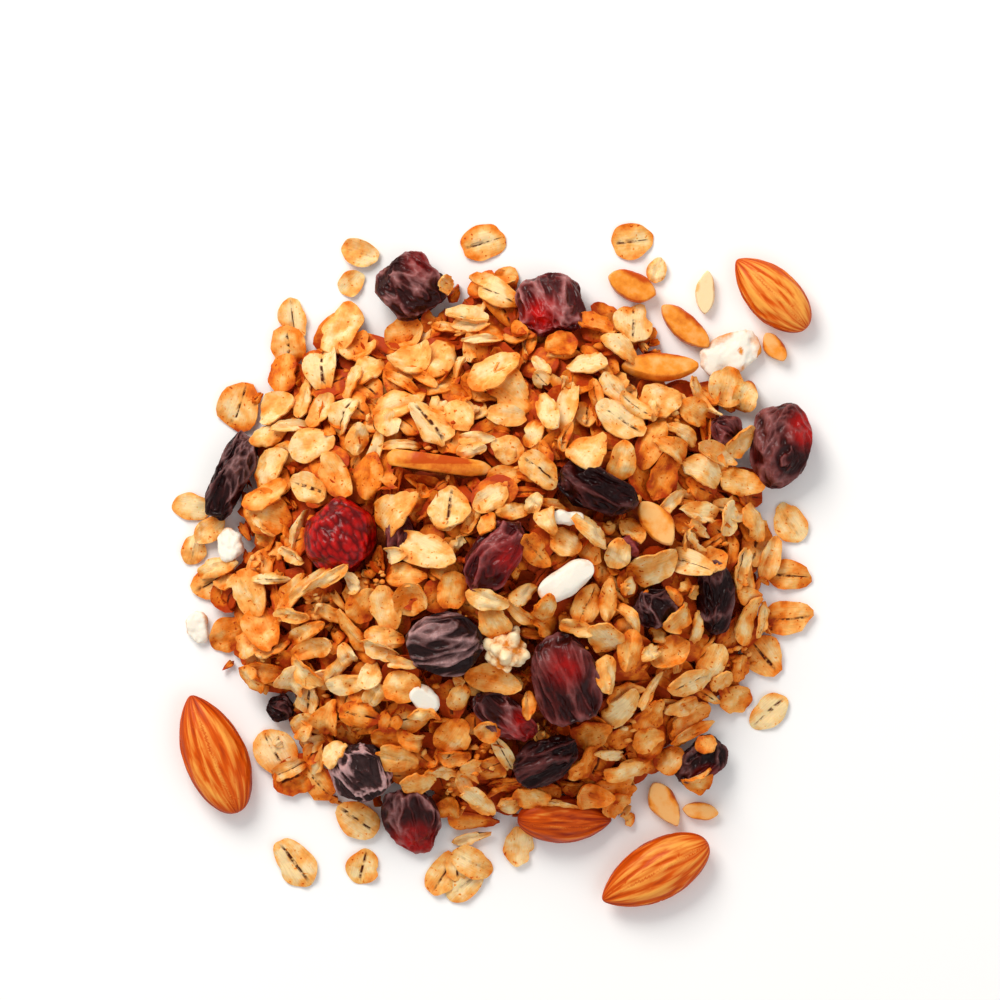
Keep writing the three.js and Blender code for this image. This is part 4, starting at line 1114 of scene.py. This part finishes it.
def shrunk(mask, cells):
    """The mask without its outermost cells."""
    for _ in range(cells):
        mask = (
            mask & np.roll(mask, 1, 0) & np.roll(mask, -1, 0)
            & np.roll(mask, 1, 1) & np.roll(mask, -1, 1)
        )
    return mask


def measured_pile(oats):
    """A pile whose form is the heap's solid, with the fruit and nuts already in it."""
    low, high = CAD_BOX
    margin = Vector((4 * MM, 4 * MM, 0))
    pile = Pile(low - margin, high + margin, GRID)
    bm = closed_copy(HEAP_NODE)
    solid = pile.cast(BVHTree.FromBMesh(bm), *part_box(HEAP_NODE))
    bm.free()
    form = np.nan_to_num(solid)
    tops = np.zeros_like(form)
    under = np.full(form.shape, 1.0)
    clear = np.zeros(form.shape, bool)
    for piece in bpy.context.scene.objects:
        if piece.type != "MESH" or not piece.get("in_heap"):
            continue
        points, _ = points_of(piece.data)
        faces = [tuple(face.vertices) for face in piece.data.polygons]
        tree = BVHTree.FromPolygons(points.tolist(), faces)
        box = points.min(0), points.max(0)
        top = pile.cast(tree, *box)
        shown = ~np.isnan(top)
        tops = np.maximum(tops, np.nan_to_num(top))
        under = np.fmin(under, pile.cast(tree, *box, upwards=True))
        clear |= shrunk(shown, int(piece["in_heap"]))
    pile.target = np.maximum(form, tops)
    pile.core = np.minimum(smoothed(pile.target, 14) - oats.bed_depth, under - 0.4 * MM)
    pile.core[form < 0.5 * MM] = 0
    pile.core = np.clip(pile.core, 0, None)
    pile.height = np.maximum(pile.core, tops)
    pile.kept_clear = clear
    pile.form = form
    return pile


def height_at(pile, field, x, y):
    """The value of a field of the pile at a place."""
    row = min(max(int((y - pile.low[1]) / pile.cell), 0), pile.rows - 1)
    column = min(max(int((x - pile.low[0]) / pile.cell), 0), pile.columns - 1)
    return field[row, column]


def make_core(pile, material):
    """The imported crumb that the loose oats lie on: a closed mound with lumpy relief."""
    bm = bmesh.new()
    bmesh.ops.create_uvsphere(bm, u_segments=120, v_segments=64, radius=1)
    field = smoothed(pile.core, 2)
    cells = np.argwhere(field > 1.5 * MM)
    middle = Vector((pile.x[cells[:, 1]].mean(), pile.y[cells[:, 0]].mean(), 0))
    for vert in bm.verts:
        out = Vector((vert.co.x, vert.co.y, 0))
        share = out.length
        way = out.normalized() if share > 1e-6 else Vector((1, 0, 0))
        reach = 0.004
        while height_at(pile, field, *(middle + way * reach).xy) > 0.6 * MM:
            reach += 0.0008
        place = middle + way * reach * share
        lump = 0.5 * MM * noise.fractal(place / (1.8 * MM), 1.0, 2.0, 3)
        if vert.co.z > 0.01:
            place.z = max(0.2 * MM, height_at(pile, field, *place.xy) * min(1, 3 * vert.co.z) + lump)
        else:
            place.z = 0.1 * MM
        vert.co = place
    bmesh.ops.remove_doubles(bm, verts=bm.verts, dist=0.02 * MM)
    bmesh.ops.recalc_face_normals(bm, faces=bm.faces)
    mesh = mesh_from(bm, "crumb_core")
    return placed("crumb_core", mesh, material, "toasted_oat", [HEAP_NODE])


def toast_at(rng, x, y, base, spread):
    """How brown an oat is: by its layer's base, which is deeper in the lower layers as painted shade,
    by chance, and by where in the tray it baked.
    """
    patch = noise.noise(Vector((x, y, 0)) / (16 * MM))
    return float(np.clip(base + 0.16 * patch + rng.normal(0, spread), 0, 1))


def drop_oats(pile, rng, oats, plan, cells):
    """Drops oats by a plan until it is full or no more find room. Returns the landings."""
    landings = []
    for _ in range(plan["tries"]):
        if len(landings) >= plan["count"]:
            break
        x, y = pile.pick(rng, cells, plan["picky"])
        scale = rng.uniform(*plan["scale"])
        length, width = oats.flake_length * scale, oats.flake_width * scale * rng.uniform(0.84, 1.1)
        if rng.random() < plan["narrow"]:
            width *= rng.uniform(0.3, 0.55)
        lean = (abs(rng.normal(0, plan["lean"])), rng.uniform(0, 2 * math.pi))
        if rng.random() < plan["upright"]:
            lean = (rng.uniform(0.8, 1.25), lean[1])
        thickness = oats.flake_thickness * rng.uniform(0.8, 1.25)
        landing = pile.land(x, y, length, width, thickness, rng.uniform(0, 6.283), lean, plan["sink"])
        if landing is None or not pile.fits(landing, rng.uniform(*plan["slack"]), plan["cover"]):
            continue
        pile.settle(landing)
        landing.update(
            size=np.array((length / 2, width / 2, thickness / oats.flake_thickness)),
            form=int(rng.integers(0, 1000)),
            toast=toast_at(rng, x, y, *plan["toast"]),
            tint=float(rng.random()),
        )
        landings.append(landing)
    return landings


def lay_listed(pile, rng, oats, place, size, turn, toast, creased, lean, sink):
    """Lays one oat of a list. Returns its landing."""
    x, y = on_plan(*place)
    length, width = size[0] * MM, size[1] * MM
    landing = pile.land(
        x, y, length, width, oats.flake_thickness, math.radians(turn), lean, sink
    )
    pile.settle(landing)
    landing.update(
        size=np.array((length / 2, width / 2, 1.0)), form=int(rng.integers(0, 1000)),
        toast=toast, tint=float(rng.uniform(0.65, 1) if creased else rng.uniform(0, 0.5)),
    )
    return landing


def make_heap(oats):
    """The core, the oats over it in layers, and the lumps and crumbs on top."""
    rng = np.random.default_rng(SEED)
    pile = measured_pile(oats)
    make_core(pile, shaded_crumb_core())
    oat = toasted_oat(oats)
    whole = [oat_form(rng, 6, 4, oats.flake_thickness) for _ in range(28)]
    broken = [oat_form(rng, 5, 4, oats.flake_thickness, broken=True) for _ in range(16)]
    cells = np.flatnonzero(pile.form.ravel() > 0.3 * MM)
    full = pile.target.copy()
    pile.target = np.where(pile.form > 0, np.maximum(full - 2.4 * MM, 1.4 * MM), 0)
    # The lower layers get deeper toast than the upper ones and the crown: painted shade under the oats
    # on top.
    plan = {
        "count": oats.under_count, "tries": 2600, "picky": 8, "scale": (0.75, 1.1), "narrow": 0.1,
        "lean": 0.35, "upright": 0.05, "sink": 0.72, "slack": (0.0, 1.0 * MM), "cover": 0.0,
        "toast": (0.55, 0.14),
    }
    under = drop_oats(pile, rng, oats, plan, cells)
    foot = [
        lay_listed(
            pile, rng, oats, place, size, turn, float(rng.uniform(0.08, 0.3)), True, (0.08, 0), 0.8
        )
        for place, size, turn in FOOT_OATS
    ]
    pile.target = full
    plan.update(
        count=oats.upper_count, tries=2400, picky=10, scale=(0.66, 1.05), narrow=0.15,
        lean=0.36, upright=0.08, sink=0.8, slack=(-0.6 * MM, 0.5 * MM), cover=0.02,
        toast=(0.38, 0.15),
    )
    upper = drop_oats(pile, rng, oats, plan, cells)
    top = []
    for x, y, length, width, turn, toast, creased in TOP_OATS:
        lean = (abs(rng.normal(0, 0.16)), rng.uniform(0, 2 * math.pi))
        landing = lay_listed(
            pile, rng, oats, (x, y), (length, width), turn, toast, creased, lean, 0.9
        )
        landing["form"] = len(top)
        top.append(landing)
        pile.kept_clear[landing["where"]] |= landing["inside"]
    plan.update(
        count=oats.upper_count // 3, tries=1500, picky=8, scale=(0.4, 0.85), narrow=0.2, lean=0.4,
        upright=0.12, sink=0.75, slack=(0.2 * MM, 1.4 * MM), cover=0.12, toast=(0.34, 0.18),
    )
    bits = drop_oats(pile, rng, oats, plan, cells)
    plan.update(
        count=oats.upper_count // 5, tries=1500, picky=5, scale=(0.75, 1.0), narrow=0.1, lean=0.28,
        upright=0.03, sink=0.85, slack=(0.8 * MM, 2.2 * MM), cover=0.12, toast=(0.16, 0.1),
    )
    crown = drop_oats(pile, rng, oats, plan, cells) + foot
    shown = [
        oat_form(rng, 10, 7, oats.flake_thickness, creased=bool(row[6])) for row in TOP_OATS
    ]
    for name, forms, landings, slot in (
        ("oats_lower", whole, under, "toasted_oat"),
        ("oats_upper", whole, upper, "toasted_oat"),
        ("oats_broken", broken, bits, "toasted_oat"),
        ("oats_crown", whole, crown, "pale_oat"),
        ("oats_top", shown, top, "pale_oat"),
    ):
        placed(name, joined(name, forms, landings, pile), oat, slot, sharp=50)
    lumps = lay_clumps(pile, rng)
    inner = np.flatnonzero(smoothed(pile.form, 8).ravel() > 6 * MM)
    crumbs = drop_crumbs(pile, rng, oats.crumb_count, inner)
    forms = [crumb_form(rng) for _ in range(10)]
    placed("oat_crumbs", joined("oat_crumbs", forms, crumbs + lumps, pile), oat, "toasted_oat")
    print("oats", len(under), len(upper), len(bits), len(crown), len(top), "crumbs", len(crumbs))


def lay_clumps(pile, rng):
    """Crumbs that syrup baked into lumps between the oats."""
    landings = []
    for x, y, radius in CLUMPS:
        for _ in range(int(5 * radius**2)):
            reach, angle = radius * math.sqrt(rng.random()), rng.uniform(0, 2 * math.pi)
            at = on_plan(x + reach * math.cos(angle), y + reach * math.sin(angle))
            size = rng.uniform(0.5, 1.5) * MM
            landing = pile.land(*at, 2.4 * size, 2.4 * size, size, 0, (0, 0), 0.5)
            if landing is None or not pile.fits(landing, 1.6 * MM, 0.3):
                continue
            pile.settle(landing)
            landing.update(
                size=np.array((size, size, size)), form=int(rng.integers(0, 1000)),
                toast=float(rng.uniform(0.3, 0.6)), tint=0.0,
            )
            landings.append(landing)
    return landings


def drop_crumbs(pile, rng, count, cells):
    """Crumbs of a millimetre or so, lying on whatever is under them."""
    landings = []
    for _ in range(count):
        x, y = pile.pick(rng, cells, 3)
        size = rng.uniform(0.35, 1.2) * MM
        landing = pile.land(x, y, 3 * size, 3 * size, size, rng.uniform(0, 6.283), (0, 0), 0.5)
        if landing is None or not pile.fits(landing, 3 * MM, 0.1):
            continue
        landing.update(
            size=np.array((size, size, size)), form=int(rng.integers(0, 1000)),
            toast=toast_at(rng, x, y, 0.45, 0.2), tint=0.0,
        )
        landings.append(landing)
    return landings


def make_stray(node, oats, material, rng):
    """An oat that lies alone, fitted over its solid."""
    points, _ = points_of(frame["nodes"][node].data)
    middle, axes, half = directions_of(points)
    form, faces, uv = oat_form(rng, 14, 10, oats.flake_thickness, creased=node in CREASED)
    extent = np.ptp(form, axis=0) / 2
    form = (form - (form.max(0) + form.min(0)) / 2) / extent * (half[0], half[1], 0.75 * half[2])
    turned = form @ axes
    mesh = bpy.data.meshes.new(node)
    mesh.from_pydata((turned + middle).tolist(), [], faces)
    fitted_to(mesh, node)
    give_uv(mesh, uv)
    browner = 0.2 if node in BROWNER else 0.0
    give_attribute(mesh, "toast", rng.uniform(0.05, 0.2) + browner)
    tint = rng.uniform(0.65, 1.0) if node in CREASED else rng.uniform(0.2, 0.55)
    give_attribute(mesh, "tint", tint)
    give_attribute(mesh, "buried", 0)
    return placed(node + "_flake", mesh, material, "pale_oat", [node], 50)


def make_stray_cluster(node, oats, material, rng):
    """A few oats stuck together by syrup, lying alone."""
    low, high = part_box(node)
    middle = (low + high) / 2
    forms = [oat_form(rng, 10, 8, oats.flake_thickness) for _ in range(4)]
    lay = (
        ((-2.9, 0.2, 0.9), (10, 6.4), 60, 0.08),
        ((2.6, 2.4, 1.4), (8.8, 6.2), -30, 0.12),
        ((1.2, -2.2, 1.8), (8.6, 5.8), 46, -0.14),
        ((-0.6, 1.6, 2.2), (6.0, 4.4), 100, 0.2),
    )
    landings = []
    for i, (at, (length, width), turn, lean) in enumerate(lay):
        turned = Matrix.Rotation(math.radians(turn), 3, "Z") @ Matrix.Rotation(lean, 3, "Y")
        landings.append({
            "middle": np.array((middle.x + at[0] * MM, middle.y + at[1] * MM, at[2] * MM)),
            "axes": np.array(turned.transposed()),
            "size": np.array((length * MM / 2, width * MM / 2, 1.0)),
            "form": i, "toast": rng.uniform(0.08, 0.3), "tint": rng.uniform(0.5, 1.0),
        })
    mesh = joined(node, forms, landings)
    fitted_to(mesh, node)
    return placed(node + "_flakes", mesh, material, "pale_oat", [node], 50)


# Stage


def make_stage(stage):
    """The floor, the lights and the camera, which looks straight down."""
    bm = bmesh.new()
    bmesh.ops.create_grid(bm, x_segments=2, y_segments=2, size=3)
    mesh = mesh_from(bm, "floor")
    material, shader, _ = new_material("Matt_white_board")
    shader.inputs["Base Color"].default_value = tuple(stage.floor)
    shader.inputs["Roughness"].default_value = 0.9
    mesh.materials.append(material)
    added("floor", mesh)
    lights = (
        ("key", (-0.30, 0.50, 0.52), 0.42, stage.key_power, "#FFFBF6"),
        ("fill", (0.42, -0.30, 0.50), 0.6, stage.fill_power, "#F4F7FF"),
    )
    for name, place, size, power, code in lights:
        light = bpy.data.lights.new(name, "AREA")
        light.size, light.energy, light.color = size, power, linear(code)[:3]
        lamp = added(name, light)
        lamp.location = place
        lamp.rotation_euler = (-Vector(place)).to_track_quat("-Z", "Y").to_euler()
    world = bpy.data.worlds.new("Pale_room")
    world.use_nodes = True
    world.node_tree.nodes["Background"].inputs["Color"].default_value = linear("#FFFFFF")
    world.node_tree.nodes["Background"].inputs["Strength"].default_value = stage.room_light
    bpy.context.scene.world = world
    camera = bpy.data.cameras.new("camera")
    camera.lens, camera.sensor_width = 150, 36
    camera.clip_start, camera.clip_end = 0.01, 10
    eye = added("camera", camera)
    distance = stage.view_width * camera.lens / camera.sensor_width
    eye.location = (*on_plan(0.38, 11.78), distance + 8 * MM)
    bpy.context.scene.camera = eye
    bpy.context.scene.view_settings.view_transform = "Standard"


# Operators


class GRANOLA_OT_stage(bpy.types.Operator):
    """Sets up the floor, the lights and the camera"""

    bl_idname = "granola.stage"
    bl_label = "Stage"

    def execute(self, context):
        make_stage(context.scene.granola_stage)
        return {"FINISHED"}


class GRANOLA_OT_fruit(bpy.types.Operator):
    """Builds the dried fruit over its solids"""

    bl_idname = "granola.fruit"
    bl_label = "Dried fruit"

    def execute(self, context):
        # Vector noise is seeded with the time unless it is told otherwise.
        noise.seed_set(SEED)
        fruit = context.scene.granola_fruit
        cherry, red, maroon, black = (
            dried_fruit(name, skin, fold, fruit, shine)
            for name, skin, fold, shine in (
                ("Dried_cherry_skin", fruit.cherry, fruit.cherry_hollow_shade, 1.0),
                ("Dried_red_berry_skin", fruit.red, fruit.red_hollow_shade, 1.0),
                ("Raisin_skin_sun_dried", fruit.maroon, fruit.maroon_hollow_shade, 0.8),
                ("Prune_skin_sun_dried", fruit.black, fruit.black_hollow_shade, 0.6),
            )
        )
        for nodes, material, slot, spacing, depth in (
            (("cherry_left",), cherry, "red_fruit", 0.66, 0.32),
            (RED_FRUIT, red, "red_fruit", 1.0, 1.0),
            (DEEP_RED_FRUIT, maroon, "red_fruit", 1.0, 1.0),
            (DARK_FRUIT, maroon, "dark_fruit", 0.9, 0.9),
            (BLACK_FRUIT, black, "black_fruit", 0.9, 1.0),
        ):
            for node in nodes:
                piece = make_fruit(
                    node, material, slot, fruit.fold_spacing * spacing, fruit.fold_depth * depth,
                    bumpy=0.6 if material == cherry else 0.0,
                )
                piece["in_heap"] = 3
        return {"FINISHED"}


class GRANOLA_OT_almonds(bpy.types.Operator):
    """Builds the whole almonds over their solids"""

    bl_idname = "granola.almonds"
    bl_label = "Almonds"

    def execute(self, context):
        nuts = context.scene.granola_nuts
        material = almond_skin(nuts)
        for node in ALMONDS:
            make_almond(node, nuts, material)["in_heap"] = 2
        return {"FINISHED"}


class GRANOLA_OT_slivers(bpy.types.Operator):
    """Builds the almond slivers over their solids"""

    bl_idname = "granola.slivers"
    bl_label = "Almond slivers"

    def execute(self, context):
        nuts = context.scene.granola_nuts
        material = roasted_flesh(
            "Almond_flesh_roasted", nuts.flesh, nuts.flesh_gold, nuts.flesh_toast, 0.6, 3 * MM
        )
        pale = roasted_flesh(
            "Almond_flesh_blanched", nuts.flesh_pale, nuts.flesh_pale, nuts.flesh, 0.1, 3 * MM
        )
        for node in SLIVERS:
            finish = pale if node == "almond_sliver_stray" else material
            piece = make_chip(node, node + "_cut", finish, "almond_flesh", 0.16 * MM, 1.7, 0.5)
            piece["in_heap"] = 1
        return {"FINISHED"}


class GRANOLA_OT_coconut(bpy.types.Operator):
    """Builds the coconut chips and the popped grain over their solids"""

    bl_idname = "granola.coconut"
    bl_label = "Coconut and popped grain"

    def execute(self, context):
        nuts = context.scene.granola_nuts
        white = roasted_flesh(
            "Coconut_flesh_dried", nuts.coconut, nuts.coconut, nuts.coconut_toast, 0.2, 4 * MM
        )
        for node in COCONUT:
            smooth = node in ("coconut_curl", "coconut_seed")
            rough, flat = (0.2 * MM, 1.25) if smooth else (0.6 * MM, 1.0)
            make_chip(node, node + "_chip", white, "coconut", rough, flat)["in_heap"] = 1
        puff = roasted_flesh(
            "Grain_popped", linear("#FAE6C0"), linear("#F8DCAC"), linear("#D27A22"), 0.1, 1.5 * MM
        )
        make_popped_grain("popped_grain", puff)["in_heap"] = 2
        return {"FINISHED"}


class GRANOLA_OT_strays(bpy.types.Operator):
    """Builds the oats that lie apart from the heap"""

    bl_idname = "granola.strays"
    bl_label = "Stray oats"

    def execute(self, context):
        oats = context.scene.granola_oats
        rng = np.random.default_rng(SEED + 1)
        material = toasted_oat(oats)
        for node in STRAY_OATS:
            make_stray(node, oats, material, rng)
        for node in EDGE_OATS:
            make_stray(node, oats, material, rng)["in_heap"] = 1
        make_stray_cluster("oat_cluster_stray", oats, material, rng)
        return {"FINISHED"}


class GRANOLA_OT_heap(bpy.types.Operator):
    """Piles the oats and crumbs up to the heap's form"""

    bl_idname = "granola.heap"
    bl_label = "Heap of oats"

    def execute(self, context):
        make_heap(context.scene.granola_oats)
        return {"FINISHED"}


class GRANOLA_PT_panel(bpy.types.Panel):
    """Lists the steps in the order in which they are built"""

    bl_idname = "GRANOLA_PT_panel"
    bl_label = "Granola"
    bl_space_type = "VIEW_3D"
    bl_region_type = "UI"
    bl_category = "Granola"

    def draw(self, context):
        for step in STEPS:
            self.layout.operator(step.bl_idname)
        for group in ("granola_oats", "granola_fruit", "granola_nuts", "granola_stage"):
            settings = getattr(context.scene, group)
            box = self.layout.box()
            for name in settings.bl_rna.properties.keys()[2:]:
                box.prop(settings, name)


GROUPS = {
    "granola_oats": GranolaOats,
    "granola_fruit": GranolaFruit,
    "granola_nuts": GranolaNuts,
    "granola_stage": GranolaStage,
}
# The heap comes last, because its oats lie round and over all the rest.
STEPS = (
    GRANOLA_OT_stage,
    GRANOLA_OT_fruit,
    GRANOLA_OT_almonds,
    GRANOLA_OT_slivers,
    GRANOLA_OT_coconut,
    GRANOLA_OT_strays,
    GRANOLA_OT_heap,
)


def register():
    for cls in (*GROUPS.values(), *STEPS, GRANOLA_PT_panel):
        bpy.utils.register_class(cls)
    for name, group in GROUPS.items():
        setattr(bpy.types.Scene, name, PointerProperty(type=group))


def unregister():
    for name in GROUPS:
        delattr(bpy.types.Scene, name)
    for cls in reversed((*GROUPS.values(), *STEPS, GRANOLA_PT_panel)):
        bpy.utils.unregister_class(cls)


def main():
    """Builds everything in order."""
    register()
    for step in STEPS:
        section, name = step.bl_idname.split(".")
        getattr(getattr(bpy.ops, section), name)()


if __name__ == "__main__":
    main()
